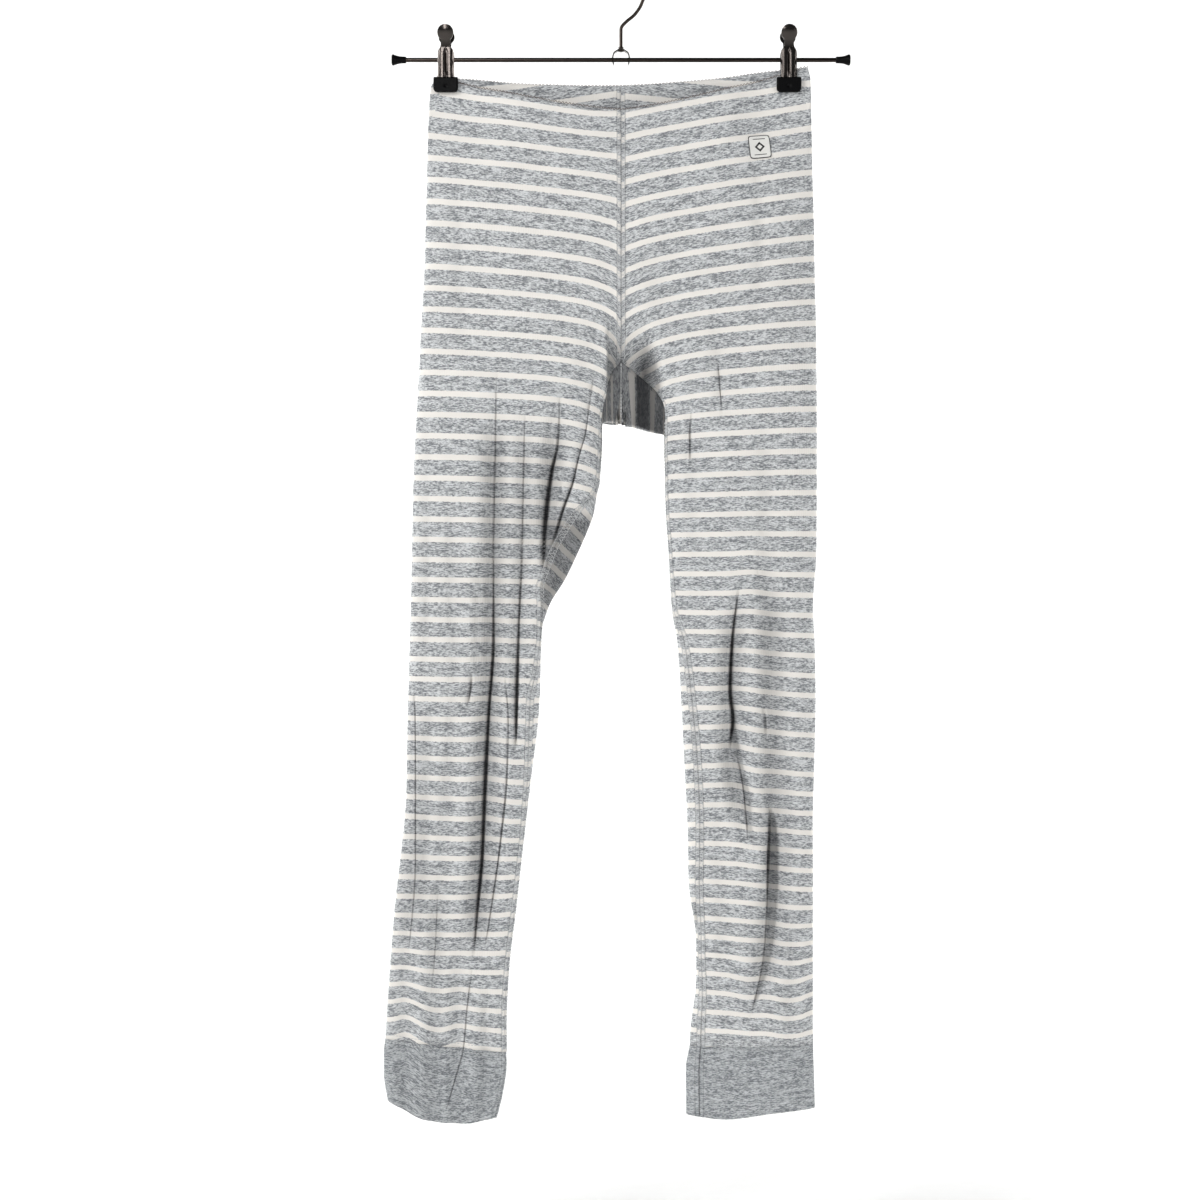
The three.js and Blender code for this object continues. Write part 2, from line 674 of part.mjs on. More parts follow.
function bracketGeometry() {
  const { halfWidth, strap, topZ, shoulderZ, flat, sag, footZ, depth } = BRACKET;
  const inside = halfWidth - strap;
  const shape = new THREE.Shape();
  shape.moveTo(-halfWidth, footZ);
  shape.lineTo(-halfWidth, shoulderZ);
  shape.quadraticCurveTo(-halfWidth, topZ - sag, -flat, topZ);
  shape.lineTo(flat, topZ);
  shape.quadraticCurveTo(halfWidth, topZ - sag, halfWidth, shoulderZ);
  shape.lineTo(halfWidth, footZ);
  shape.lineTo(inside, footZ);
  shape.lineTo(inside, shoulderZ);
  shape.quadraticCurveTo(inside, topZ - strap - sag, flat, topZ - strap);
  shape.lineTo(-flat, topZ - strap);
  shape.quadraticCurveTo(-inside, topZ - strap - sag, -inside, shoulderZ);
  shape.lineTo(-inside, footZ);
  const band = new THREE.ExtrudeGeometry(shape, { depth, bevelEnabled: false, curveSegments: 5 });
  band.rotateX(Math.PI / 2).translate(0, depth / 2, 0);
  const rodHole = rodAlongX(ROD_RADIUS + FIT_GAP, 3 * halfWidth).translate(0, 0, ROD_Z);
  const stemHole = disc(STEM_HOLE, 4 * strap, topZ);
  return fromSolid(toSolid(band).subtract(toSolid(rodHole)).subtract(toSolid(stemHole)));
}

add('hook_bracket', bracketGeometry(), COLOURS.chrome, 0.25, 1);

// Hook, a round wire from its riveted foot under the bracket to the open end of the loop
const STEM = table('x z', [
  [0, -82.9],
  [0, -76],
  [0, -66],
  [0.6, -60.3],
  [5.4, -55],
  [11.7, -49.8],
  [17, -42.6],
]);
const LOOP = { startDegrees: -34, endDegrees: 205, steps: 10 };
const WIRE_STEPS = 48;
const WIRE_CORNERS = 4;
const RIVET = { radius: 2.8, height: 1.2 };
const COLLAR = { radius: 2.4, height: 1 };

function hookGeometry() {
  const centreZ = HOOK_WIRE_RADIUS - HOOK_LOOP_RADIUS;
  const route = STEM.map((row) => new THREE.Vector3(row.x, 0, row.z));
  for (let i = 0; i <= LOOP.steps; i += 1) {
    const angle = radians(mix(LOOP.startDegrees, LOOP.endDegrees, i / LOOP.steps));
    const reach = HOOK_LOOP_RADIUS;
    route.push(new THREE.Vector3(reach * Math.cos(angle), 0, centreZ + reach * Math.sin(angle)));
  }
  const section = new THREE.Shape().absarc(0, 0, HOOK_WIRE_RADIUS, 0, 2 * Math.PI);
  const wire = new THREE.ExtrudeGeometry(section, {
    steps: WIRE_STEPS,
    curveSegments: WIRE_CORNERS,
    extrudePath: new THREE.CatmullRomCurve3(route, false, 'centripetal'),
  });
  const strapUnderside = BRACKET.topZ - BRACKET.strap - FIT_GAP;
  const rivet = disc(RIVET.radius, RIVET.height, strapUnderside - RIVET.height / 2);
  const collar = disc(COLLAR.radius, COLLAR.height, BRACKET.topZ + FIT_GAP + COLLAR.height / 2);
  return fromSolid(toSolid(wire).add(toSolid(rivet)).add(toSolid(collar)));
}

add('hook', hookGeometry(), COLOURS.darkChrome, 0.2, 1);

// Clips: two sprung leaves, hinged on the rod by their ears, with rubber tips on the cloth
const LEAF = table('z y width flute', [
  [-117.2, 3.7, 15, 0],
  [-105.5, 3.7, 15, 0],
  [-101, 3.8, 13.9, 0.5],
  [-92, 4.1, 13.5, 0.6],
  [-85, 4.3, 13.5, 0.6],
  [-81.9, 4.8, 13.2, 0.3],
  [-79.6, 5.4, 9.6, 0],
  [-77.4, 6, 8.6, 0],
  [-74, 7.1, 8.8, 0],
]);
const LEAF_THICKNESS = 1;
const LEAF_STEPS = [-1, -0.66, -0.33, 0, 0.33, 0.66, 1];
const TAB = { z: -67.5, radius: 7.2, fullness: 0.944, rows: 5, startY: 7.1, endY: 11.5 };
const EAR = { bottomZ: -94.6, topZ: -85.4, root: 4.2, reach: 3.4, nose: 0.6, thickness: 0.9 };
const FRONT_EAR_X = 5.75;
const BACK_EAR_X = FRONT_EAR_X - FIT_GAP - EAR.thickness;
const SPRING = { radius: 3.3, halfLength: BACK_EAR_X - FIT_GAP };
const TIP = {
  width: 22,
  topZ: -106.2,
  bottomZ: -119.7,
  inner: 1.75,
  outer: 5.6,
  bevel: 0.6,
  corner: 3.4,
  slotHeight: 20,
};

function leafRows() {
  const rows = LEAF.map((row) => ({ ...row }));
  const start = LEAF.at(-1).z;
  const end = TAB.z + TAB.radius * TAB.fullness;
  for (let i = 1; i <= TAB.rows; i += 1) {
    const share = Math.sin(((i / TAB.rows) * Math.PI) / 2);
    const z = mix(start, end, share);
    const width = 2 * Math.sqrt(TAB.radius ** 2 - (z - TAB.z) ** 2);
    rows.push({ z, y: mix(TAB.startY, TAB.endY, share), width, flute: 0 });
  }
  return rows;
}

function leafGeometry(facing, earX) {
  const face = (out) => leafRows().map((row) => LEAF_STEPS.map((step) => {
    const flute = row.flute * Math.sin(Math.PI * 2 * Math.abs(step)) ** 2;
    const y = row.y + flute + out * LEAF_THICKNESS / 2;
    return new THREE.Vector3((step * row.width) / 2, facing * y, row.z);
  }));
  let solid = toSolid(wall(face(1), face(-1)));
  for (const side of [-1, 1]) {
    solid = solid.add(toSolid(earGeometry(facing, side > 0 ? earX : -earX - EAR.thickness)));
  }
  return fromSolid(solid);
}

function earGeometry(facing, startX) {
  const noseHeight = EAR.nose * (EAR.topZ - EAR.bottomZ) / 2;
  const shape = new THREE.Shape();
  shape.moveTo(-facing * EAR.reach, ROD_Z - noseHeight);
  shape.lineTo(facing * EAR.root, EAR.bottomZ);
  shape.lineTo(facing * EAR.root, EAR.topZ);
  shape.lineTo(-facing * EAR.reach, ROD_Z + noseHeight);
  const ear = new THREE.ExtrudeGeometry(shape, { depth: EAR.thickness, bevelEnabled: false });
  ear.applyMatrix4(new THREE.Matrix4().makeBasis(
    new THREE.Vector3(0, 1, 0),
    new THREE.Vector3(0, 0, 1),
    new THREE.Vector3(1, 0, 0),
  )).translate(startX, 0, 0);
  const hole = rodAlongX(ROD_RADIUS + FIT_GAP, 4 * FRONT_EAR_X).translate(0, 0, ROD_Z);
  return fromSolid(toSolid(ear).subtract(toSolid(hole)));
}

function springGeometry() {
  const bore = ROD_RADIUS + FIT_GAP;
  const { radius, halfLength } = SPRING;
  const profile = [[bore, -halfLength], [radius, -halfLength], [radius, halfLength], [bore, halfLength]];
  const ring = [...profile, profile[0]].map(([r, along]) => new THREE.Vector2(r, along));
  return outward(new THREE.LatheGeometry(ring, ROUND_SIDES).rotateZ(Math.PI / 2));
}

function tipGeometry(facing) {
  const half = TIP.width / 2 - TIP.bevel;
  const top = TIP.topZ - TIP.bevel;
  const bottom = TIP.bottomZ + TIP.bevel;
  const { corner } = TIP;
  const shape = new THREE.Shape();
  shape.moveTo(-half, top);
  shape.lineTo(-half, bottom + corner);
  shape.quadraticCurveTo(-half, bottom, -half + corner, bottom);
  shape.lineTo(half - corner, bottom);
  shape.quadraticCurveTo(half, bottom, half, bottom + corner);
  shape.lineTo(half, top);
  const body = new THREE.ExtrudeGeometry(shape, {
    depth: TIP.outer - TIP.inner - 2 * TIP.bevel,
    bevelThickness: TIP.bevel,
    bevelSize: TIP.bevel,
    bevelSegments: 1,
    curveSegments: 3,
  });
  body.rotateX(Math.PI / 2).translate(0, TIP.outer - TIP.bevel, 0);
  const foot = LEAF[0];
  const slotDepth = LEAF_THICKNESS + 2 * FIT_GAP;
  const slot = new THREE.BoxGeometry(foot.width + 2 * FIT_GAP, slotDepth, TIP.slotHeight)
    .translate(0, foot.y, foot.z - FIT_GAP + TIP.slotHeight / 2);
  const tip = fromSolid(toSolid(body).subtract(toSolid(slot)));
  return facing > 0 ? tip : tip.rotateZ(Math.PI);
}

for (const [side, x] of Object.entries(CLIP_X)) {
  const clip = new THREE.Group();
  clip.position.x = x;
  const pieces = [
    add(`clip_${side}_front`, leafGeometry(-1, FRONT_EAR_X), COLOURS.chrome, 0.2, 1),
    add(`clip_${side}_back`, leafGeometry(1, BACK_EAR_X), COLOURS.chrome, 0.2, 1),
    add(`clip_${side}_spring`, springGeometry().translate(0, 0, ROD_Z), COLOURS.chrome, 0.3, 1),
    add(`clip_${side}_tip_front`, tipGeometry(-1), COLOURS.rubber, 0.6, 0),
    add(`clip_${side}_tip_back`, tipGeometry(1), COLOURS.rubber, 0.6, 0),
  ];
  clip.add(...pieces);
  model.add(clip);
}

export default model;
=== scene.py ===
# Striped cotton leggings, hung by the waist from a metal clip hanger.
# Places are in the frame's own axes: +Z up, the front faces -Y, +X is to the viewer's right.
# Shape tables are in millimetres and are turned to metres where a mesh is made.
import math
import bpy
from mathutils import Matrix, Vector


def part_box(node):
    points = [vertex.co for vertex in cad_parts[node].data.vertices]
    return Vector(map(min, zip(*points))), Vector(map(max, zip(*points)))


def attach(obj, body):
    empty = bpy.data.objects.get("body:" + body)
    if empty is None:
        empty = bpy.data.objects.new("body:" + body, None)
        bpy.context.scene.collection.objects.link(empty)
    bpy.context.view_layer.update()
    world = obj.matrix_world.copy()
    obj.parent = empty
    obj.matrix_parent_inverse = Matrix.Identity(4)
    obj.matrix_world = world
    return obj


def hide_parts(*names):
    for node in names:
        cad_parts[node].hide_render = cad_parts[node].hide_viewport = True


bl_info = {
    "name": "Striped Leggings on a Clip Hanger",
    "version": (1, 0, 0),
    "blender": (4, 5, 0),
    "location": "View3D > Sidebar > Leggings",
    "description": "Cloth, seams, label, hanger and studio for a pair of hung leggings",
    "category": "Object",
}

from types import SimpleNamespace

import bpy
import numpy as np
from bpy.props import FloatProperty, FloatVectorProperty, IntProperty, PointerProperty
from bpy.types import Operator, Panel, PropertyGroup
from mathutils import Vector

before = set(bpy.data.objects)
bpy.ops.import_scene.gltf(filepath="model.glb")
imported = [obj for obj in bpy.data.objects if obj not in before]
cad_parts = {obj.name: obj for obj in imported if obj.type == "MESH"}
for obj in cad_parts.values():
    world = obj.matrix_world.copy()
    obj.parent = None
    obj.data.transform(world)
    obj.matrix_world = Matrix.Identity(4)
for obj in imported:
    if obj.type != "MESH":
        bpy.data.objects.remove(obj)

MM = 0.001
SIGN = {"left": -1, "right": 1}

# Cloth
SECTION_POWER = 2.4
FRONT_DROOP_POWER = 1.35
BACK_DROOP_POWER = 1.5
SEAM_GAP = 0.1
WAIST_SIDE_Z = -101.5
CROTCH_SIDE_Z = -338
CUFF_SEAM_Z = -976
WAIST_TILT = 0.027
TILT_END_Z = -450
CUFF_TILT = {"left": 0.11, "right": 0}
CUFF_TILT_START_Z = -850
CURVE_STEPS = 240
FRONT_COLUMNS = 112
BACK_COLUMNS = 74
CAD_COLUMNS = 13
STRIPE_PITCH = 18.5

# Hanger
ROD_Z = -90
ROD_RADIUS = 2
ROD_HALF_LENGTH = 201.4
HANGER_HALF_LENGTH = 206.4
CLIP_X = {"left": -157.5, "right": 150.8}
HOOK_WIRE_RADIUS = 1.5
HOOK_LOOP_RADIUS = 24


def linear(code):
    """Turns an sRGB hex value into linear red, green, blue and alpha."""
    parts = [int(code[i:i + 2], 16) / 255 for i in (1, 3, 5)]
    return (*[c / 12.92 if c <= 0.04045 else ((c + 0.055) / 1.055) ** 2.4 for c in parts], 1.0)


def table(names, rows):
    """Turns rows of numbers into named columns."""
    return dict(zip(names.split(), np.array(rows, float).T))


def smooth(start, end, at):
    t = np.clip((at - start) / (end - start), 0, 1)
    return t * t * (3 - 2 * t)


def mix(a, b, share):
    return a + (b - a) * share


def unit(vectors):
    return vectors / np.maximum(np.linalg.norm(vectors, axis=-1, keepdims=True), 1e-9)


def value_at(rows, name, at, key="z"):
    """Value of a column at a key that falls from row to row, smooth and without overshoot."""
    x, v = rows[key][::-1], rows[name][::-1]
    slope = np.diff(v) / np.diff(x)
    below, above = slope[:-1], slope[1:]
    total = np.where(above + below == 0, 1, above + below)
    inner = np.where(above * below > 0, 2 * above * below / total, 0)
    tangent = np.concatenate([slope[:1], inner, slope[-1:]])
    at = np.clip(at, x[0], x[-1])
    i = np.clip(np.searchsorted(x, at) - 1, 0, len(x) - 2)
    span = x[i + 1] - x[i]
    t = (at - x[i]) / span
    ease = v[i] + (v[i + 1] - v[i]) * t * t * (3 - 2 * t)
    return ease + span * t * (1 - t) * ((1 - t) * tangent[i] - t * tangent[i + 1])


# Width of each leg piece by height: outer fold, inner fold, and how far the inseam
# stands in from the inner fold on the front
OUTLINE = {
    "right": table("z outer inner inset", [
        [-101, 168, 39.6, 0.4],
        [-112, 170.5, 39.6, 0.4],
        [-155, 171.5, 39.6, 0.4],
        [-240, 173.5, 39.6, 0.4],
        [-330, 175.5, 39.6, 0.4],
        [-425, 176.4, 39.6, 0.4],
        [-480, 176.4, 40, 0.4],
        [-531, 176.2, 43.2, 0.5],
        [-585, 173, 45.9, 2],
        [-612, 174.3, 50.4, 6],
        [-666, 175.5, 54, 9.5],
        [-720, 174.2, 56.7, 11.7],
        [-775, 173, 59.4, 11],
        [-828, 172.8, 60.5, 9.5],
        [-882, 172.8, 67, 5],
        [-920, 172.8, 67, 6],
        [-963, 172.8, 62.1, 9.5],
        [-976, 172.8, 61.5, 10],
    ]),
    "left": table("z outer inner inset", [
        [-101, 167, 16, 0.5],
        [-112, 171.5, 16, 0.5],
        [-153, 173.7, 16, 0.5],
        [-260, 176.4, 16, 0.5],
        [-315, 179.1, 16, 0.5],
        [-369, 181.8, 16, 0.5],
        [-425, 185, 17.2, 0.6],
        [-470, 187, 19.8, 0.8],
        [-482, 187.3, 21.5, 4],
        [-500, 187.8, 25, 17],
        [-512, 188, 29.5, 20],
        [-531, 188.4, 37.8, 22.5],
        [-558, 189, 50.4, 20.5],
        [-582, 189.4, 65, 7],
        [-606, 190, 71.5, 1.5],
        [-640, 191, 72.3, 4],
        [-666, 192, 73, 8.5],
        [-747, 193.5, 81.9, 3],
        [-801, 198, 88.2, 1.5],
        [-855, 204, 94.5, 1.5],
        [-909, 208, 100.8, 1.5],
        [-950, 210.5, 103, 1.5],
        [-976, 212, 102.6, 1.5],
    ]),
}
CUFF_OUTLINE = {
    "right": table("z outer inner inset", [
        [-976, 172.8, 61.5, 10],
        [-1000, 173.4, 57.8, 12],
        [-1044, 174.6, 58.2, 12],
    ]),
    "left": table("z outer inner inset", [
        [-976, 212, 103, 1.5],
        [-990, 213.3, 102.6, 1.5],
        [-1015, 213.3, 105.5, 1.5],
        [-1044, 210, 112, 1.5],
    ]),
}
HEM = {
    "right": table("across z", [[1, -1032], [0.66, -1036], [0.3, -1041], [0, -1038]]),
    "left": table("across z", [[1, -1026], [0.85, -1033], [0.6, -1043], [0.3, -1045], [0, -1041]]),
}
# Depth of the front and back sheets from the plane of the side folds
DEPTH = table("z front back", [
    [-101, 12, 11],
    [-135, 16, 15],
    [-200, 20, 22],
    [-280, 22, 27],
    [-340, 21, 29],
    [-400, 20, 28],
    [-480, 18, 22],
    [-600, 17, 18],
    [-720, 16, 16],
    [-850, 14, 15],
    [-976, 12, 13],
    [-1044, 12, 12],
])
# Rows through the torso and crotch, named by their height at the side fold, with where each
# ends at the front seam and at the back seam. A turn is the angle in degrees that a sheet has
# bent through from the side fold, and "up" is the share of the seat's underside climbed.
RISE = table("side seamZ turn seamRight seamLeft backTurn backZRight backRight backZLeft backLeft up", [
    [-101.5, -137.3, 90, 0, 0, 90, -111, 0, -111, 0, 0],
    [-140, -169, 90, 0, 0, 90, -150, 0, -150, 0, 0],
    [-190, -216, 90, 0, 0, 93, -212, 0, -212, 0, 0],
    [-240, -263, 92, 0, 0, 100, -278, 0, -278, 0, 0],
    [-285, -307, 96, 0, 0, 113, -342, 0, -342, 0, 0],
    [-315, -337, 104, 0, 0, 138, -395, 0, -395, 0, 0],
    [-328, -350, 111, 0, 0, 178, -416.5, 0.5, -416.5, 0.4, 0.02],
    [-338, -360, 120, 0, 0, 180, -418.5, 6, -416.2, 4, 1],
    [-350, -371, 140, 11.7, 8, 180, -420.5, 13, -415.6, 7, 1],
    [-360, -380, 152, 22, 11, 180, -423, 23, -415, 10, 1],
    [-371, -389, 165, 31.5, 12.6, 180, -425, 31, -414.7, 12.5, 1],
    [-386, -402, 174, 37.5, 14.2, 180, -427, 37.6, -415, 14.8, 1],
    [-412, -428, 174, 40, 17, 180, -437, 39.4, -430, 16.3, 1],
    [-445, -454, 174, 40, 18.5, 180, -458, 39.6, -454, 18.4, 1],
    [-480, -484, 174, 42, 22, 180, -486, 40, -485, 20.9, 1],
    [-500, -500, 174, 42, 24, 180, -500, 40, -500, 22.5, 1],
])
SEAT_FOLD_Y = 14
SEAT_FOLD_TURN = 9
CROTCH_RISE = np.array([0, 2, -25])
# Between the thighs the front is drawn back to a floor: the walls of that hollow, across
HOLLOW_WALLS = table("z left leftEdge right rightEdge", [
    [-325, -12, 2, 20, 14],
    [-345, -11.6, 0.9, 25, 9],
    [-364, -11.9, 0.9, 31.5, 4],
    [-399, -13.6, 0.9, 36.6, 2],
    [-425, -15.5, 0.9, 38.2, 2],
])
HOLLOW_FLOOR = -4
HOLLOW_DROP = table("z share", [[-322, 0], [-334, 0.35], [-362, 1], [-405, 1], [-430, 0]])
PINCH = SimpleNamespace(half_width=16, low=-122, fade_across=50, fade_down=95, y=1.4)

# Long soft folds: the line of the bottom of each, its depth and half width
FOLDS = [
    ("left", "front", 9, 10, [[-396, -112], [-540, -114], [-680, -119], [-810, -125], [-905, -132]]),
    ("left", "front", 9, 11, [[-396, -55], [-470, -63], [-556, -70]]),
    ("left", "front", 5, 9, [[-396, -86], [-517, -87], [-670, -94]]),
    ("left", "front", 4, 10, [[-660, -185], [-810, -184], [-900, -190]]),
    ("left", "back", 7, 11, [[-440, -90], [-600, -110], [-800, -140]]),
    ("left", "back", 5, 11, [[-560, -160], [-720, -168], [-930, -172]]),
    ("right", "front", 8, 10, [[-560, 107], [-612, 100], [-657, 98], [-702, 98], [-800, 114]]),
    ("right", "front", 7, 11, [[-540, 134], [-666, 136], [-801, 138], [-900, 130], [-952, 114]]),
    ("right", "back", 7, 11, [[-430, 90], [-600, 98], [-780, 118]]),
    ("right", "back", 5, 11, [[-620, 140], [-760, 146], [-940, 132]]),
]
FOLD_FADE = 60

# Broad folds of the right leg that lie open, with the shadow that they hold painted into the colour
OPEN_FOLDS = [
    table("z x half shade", [
        [-756, 131.5, 0.3, 0.5], [-777, 136.4, 3.6, 0.82], [-806, 136.6, 5, 0.82], [-830, 136.6, 5, 0.74],
        [-850, 135.6, 4.8, 0.68], [-878, 134, 4, 0.66], [-907, 129.1, 3.2, 0.62], [-930, 122, 1.8, 0.6],
        [-949, 115.4, 0.3, 0.4],
    ]),
    table("z x half shade", [
        [-672, 100.5, 0.3, 0.6], [-692, 101.5, 2.2, 0.72], [-720, 104.4, 4.2, 0.5], [-755, 111.6, 4.6, 0.42],
        [-778, 114.8, 2.6, 0.4], [-800, 119, 0.3, 0.2],
    ]),
]
OPEN_FOLD_SLOPE = 0.3

# Painted shade on the inner face of the left leg, by height
FLAP_SHADE = table("z shade", [
    [-415, 0.76], [-435, 0.6], [-470, 0.1], [-505, 0.1], [-530, 0.2], [-570, 0.55], [-590, 0.5], [-625, 0],
])

# Shallow ripples, in the same columns
RIPPLES = [
    ("left", "front", 2.6, 5, [[-400, -174], [-500, -175], [-660, -176]]),
    ("left", "front", 2.2, 5, [[-470, -154], [-560, -152], [-620, -150], [-800, -158]]),
    ("left", "front", 2, 4, [[-520, -128], [-600, -129], [-680, -131]]),
    ("left", "front", 1.6, 6, [[-180, -150], [-280, -146], [-380, -142]]),
    ("right", "front", 1.6, 6, [[-150, 120], [-240, 124], [-340, 120]]),
    ("left", "front", 1.5, 8, [[-690, -158], [-800, -160], [-930, -168]]),
    ("left", "front", 1.6, 5, [[-700, -108], [-800, -112], [-900, -118]]),
    ("left", "front", 3, 7, [[-760, -193], [-930, -198], [-1040, -196], [-1110, -196]]),
    ("left", "front", 3.4, 8, [[-800, -166], [-930, -167], [-1040, -170], [-1110, -172]]),
    ("left", "front", 3, 7, [[-860, -146], [-960, -148], [-1110, -150]]),
    ("left", "front", 3, 6, [[-900, -120], [-1000, -122], [-1110, -127]]),
    ("left", "front", 2.4, 5, [[-640, -172], [-760, -175], [-880, -180]]),
    ("left", "front", 1.8, 8, [[-300, -30], [-350, -33], [-420, -40]]),
    ("right", "front", 1.8, 7, [[-300, 82], [-370, 87], [-440, 92]]),
    ("right", "front", 2, 8, [[-400, 126], [-480, 128], [-600, 130]]),
    ("right", "front", 1.4, 6, [[-400, 62], [-460, 62], [-560, 66]]),
    ("right", "front", 1.6, 7, [[-700, 80], [-800, 84], [-930, 92]]),
    ("right", "front", 2, 7, [[-830, 152], [-900, 152], [-1000, 150]]),
    ("right", "front", 1.8, 6, [[-700, 150], [-760, 152], [-850, 150]]),
    ("right", "front", 1.5, 12, [[-250, 28], [-300, 32], [-345, 36]]),
    ("left", "back", 2, 9, [[-420, -140], [-520, -146], [-640, -150]]),
    ("left", "back", 2, 8, [[-640, -100], [-760, -112], [-940, -130]]),
    ("right", "back", 2, 9, [[-420, 136], [-520, 134], [-640, 130]]),
    ("right", "back", 2, 8, [[-500, 66], [-640, 74], [-820, 92]]),
    ("left", "back", 2, 16, [[-150, -70], [-230, -66], [-330, -56]]),
    ("right", "back", 2, 16, [[-150, 72], [-230, 68], [-330, 60]]),
]

# Sharp creases where the cloth has folded over itself: the line of each, and the half width
# that it stands open
CREASES = {
    ("left", "front"): [
        [[-362, -111, 0.1], [-420, -112, 0.25], [-540, -114.3, 0.35], [-609, -114.3, 0.9], [-678, -118.8, 1.3],
         [-747, -122.4, 1.5], [-810, -125.1, 1.4], [-852, -129, 1], [-902, -132.3, 0.5]],
        [[-896, -132, 0.1], [-943, -138, 0.2], [-976, -141, 0.2], [-1010, -150, 0.2], [-1042, -159, 0.1]],
        [[-380, -54.5, 0.1], [-410, -55.2, 0.25], [-436, -56.7, 0.6], [-460, -62.1, 1.4], [-500, -67.5, 1.9],
         [-530, -69, 1.4], [-560, -69, 0.8], [-588, -70, 0.5]],
        [[-358, -22, 0.1], [-397, -27.9, 0.25], [-427, -32, 0.4], [-448, -38, 0.6], [-470, -43, 0.8],
         [-496, -52.2, 1], [-520, -59, 1], [-545, -66, 0.5]],
        [[-400, -85.5, 0.1], [-464, -87.3, 0.3], [-539, -89, 0.5], [-599, -91.8, 0.7], [-666, -93.6, 1.2],
         [-718, -94.5, 0.6]],
        [[-634, -133.5, 0.6], [-652, -134.5, 0.9], [-680, -138.6, 0.6]],
        [[-628, -106, 0.1], [-684, -101, 0.35], [-729, -102, 0.4], [-801, -109, 0.5], [-850, -116, 0.4],
         [-896, -123, 0.1]],
        [[-648, -187.5, 0.1], [-679, -184.5, 0.3], [-810, -184.5, 0.3], [-900, -190.8, 0.1]],
        [[-826, -164, 0.05], [-880, -166, 0.1], [-930, -170, 0.05]],
    ],
    ("right", "front"): [
        [[-558, 106, 0.3], [-612, 99.9, 1.1], [-657, 98.1, 1.5], [-684, 100.8, 1.8], [-702, 98.6, 1.2],
         [-718, 97.5, 0.4]],
        [[-700, 101, 0.5], [-747, 110, 0.6], [-801, 114.3, 0.3]],
        [[-752, 132.5, 0.2], [-777, 133, 0.8], [-806, 132, 1], [-850, 130.8, 0.5], [-890, 128.6, 0.3],
         [-930, 121, 0.3], [-956, 112.5, 0.1]],
        [[-545, 121.5, 0.5], [-556, 123.5, 0.8], [-569, 126.9, 0.5]],
        [[-352, 85.5, 0.3], [-385, 88, 0.4], [-418, 90.9, 0.3]],
        [[-400, 63, 0.3], [-430, 61.5, 0.4], [-466, 62, 0.3]],
        [[-834, 68.8, 0.5], [-857, 68, 0.9], [-880, 67.6, 0.5]],
        [[-666, 127, 0.5], [-684, 129, 0.9], [-705, 130, 0.5]],
    ],
    ("left", "back"): [
        [[-450, -92, 0.1], [-560, -104, 0.5], [-680, -121, 0.8], [-790, -138, 0.2]],
        [[-600, -163, 0.1], [-720, -168, 0.4], [-900, -171, 0.1]],
        [[-430, -52, 0.1], [-480, -66, 0.6], [-560, -84, 0.2]],
    ],
    ("right", "back"): [
        [[-440, 88, 0.1], [-560, 95, 0.5], [-660, 103, 0.9], [-770, 116, 0.2]],
        [[-650, 142, 0.1], [-760, 146, 0.6], [-860, 140, 0.4], [-930, 133, 0.1]],
        [[-430, 60, 0.1], [-500, 68, 0.4], [-590, 74, 0.1]],
    ],
}
CREASE_DEPTH = 4.6
CREASE_FADE = 26
# Reach of the painted shadow beside each crease, and the painted shade for each millimetre of trough depth
CREASE_SHADOW = 6.5
TROUGH_SHADE = 0.05

# How many stripes lie above each height at the side fold
STRIPE_COUNT = {
    "right": table("z count", [[-77, -1], [-116, 1], [-195.5, 5], [-290.8, 10], [-479.7, 20], [-662, 30],
                               [-836, 40], [-948, 47], [-964.5, 48], [-1060, 54]]),
    "left": table("z count", [[-73.4, -1], [-113.3, 1], [-194.3, 5], [-293.6, 10], [-390.2, 15], [-484.9, 20],
                              [-664.2, 30], [-770, 36], [-842, 40], [-942, 46], [-959, 47], [-1060, 53]]),
}
# How far the front's stripes hang below their height at the side: evenly towards the centre,
# and steeply within a reach of the seam, and at the seam itself
DROOP = {
    "right": table("z even steep sharp", [
        [-101, 27, 0, 0], [-195, 24, 5, 0], [-290, 19.5, 15, 0], [-309, 17, 20, 3], [-330, 13.5, 26, 2],
        [-365, 12, 30, 0], [-400, 9.5, 14, 0], [-450, 6, 5, 0], [-480, 4, 0, 0], [-575, -3, 0, 0],
        [-662, -11, 0, 0], [-750, -14, 0, 0], [-840, -14, 0, 0], [-917, -10, 0, 0], [-949, -5, 0, 0],
    ]),
    "left": table("z even steep sharp", [
        [-101, 35.5, -9, 0], [-195, 23, 4, 0], [-293, 17.3, 15, 2], [-312, 14.5, 17, 8], [-331, 14, 17, 12],
        [-350, 12.2, 20, 4], [-390, 8.3, 26, 0], [-446, 6, 28, 0], [-485, 5, 24, 0], [-520, 4, 8, 0],
        [-664, 3.5, 0, 0], [-700, 5.5, 0, 0], [-770, 7, 0, 0], [-843, 0, 0, 0], [-945, -3, 0, 0],
    ]),
}
STEEP_REACH = {"right": 26, "left": 20}
SHARP_REACH = 6
# How far the back's stripes hang below their height at the side, in the middle. A rise fades
# evenly across the back, and a fall within a reach of the middle.
BACK_DROOP = table("z fall", [
    [-90, -16], [-200, -16], [-250, -6], [-300, 9], [-350, 36], [-400, 71], [-421, 88], [-433, 80],
    [-448, 68], [-466, 42], [-488, 16], [-500, 0], [-520, 0],
])
BACK_RISE_REACH = 130
BACK_FALL_REACH = 45
SEAT_BLEND = 34
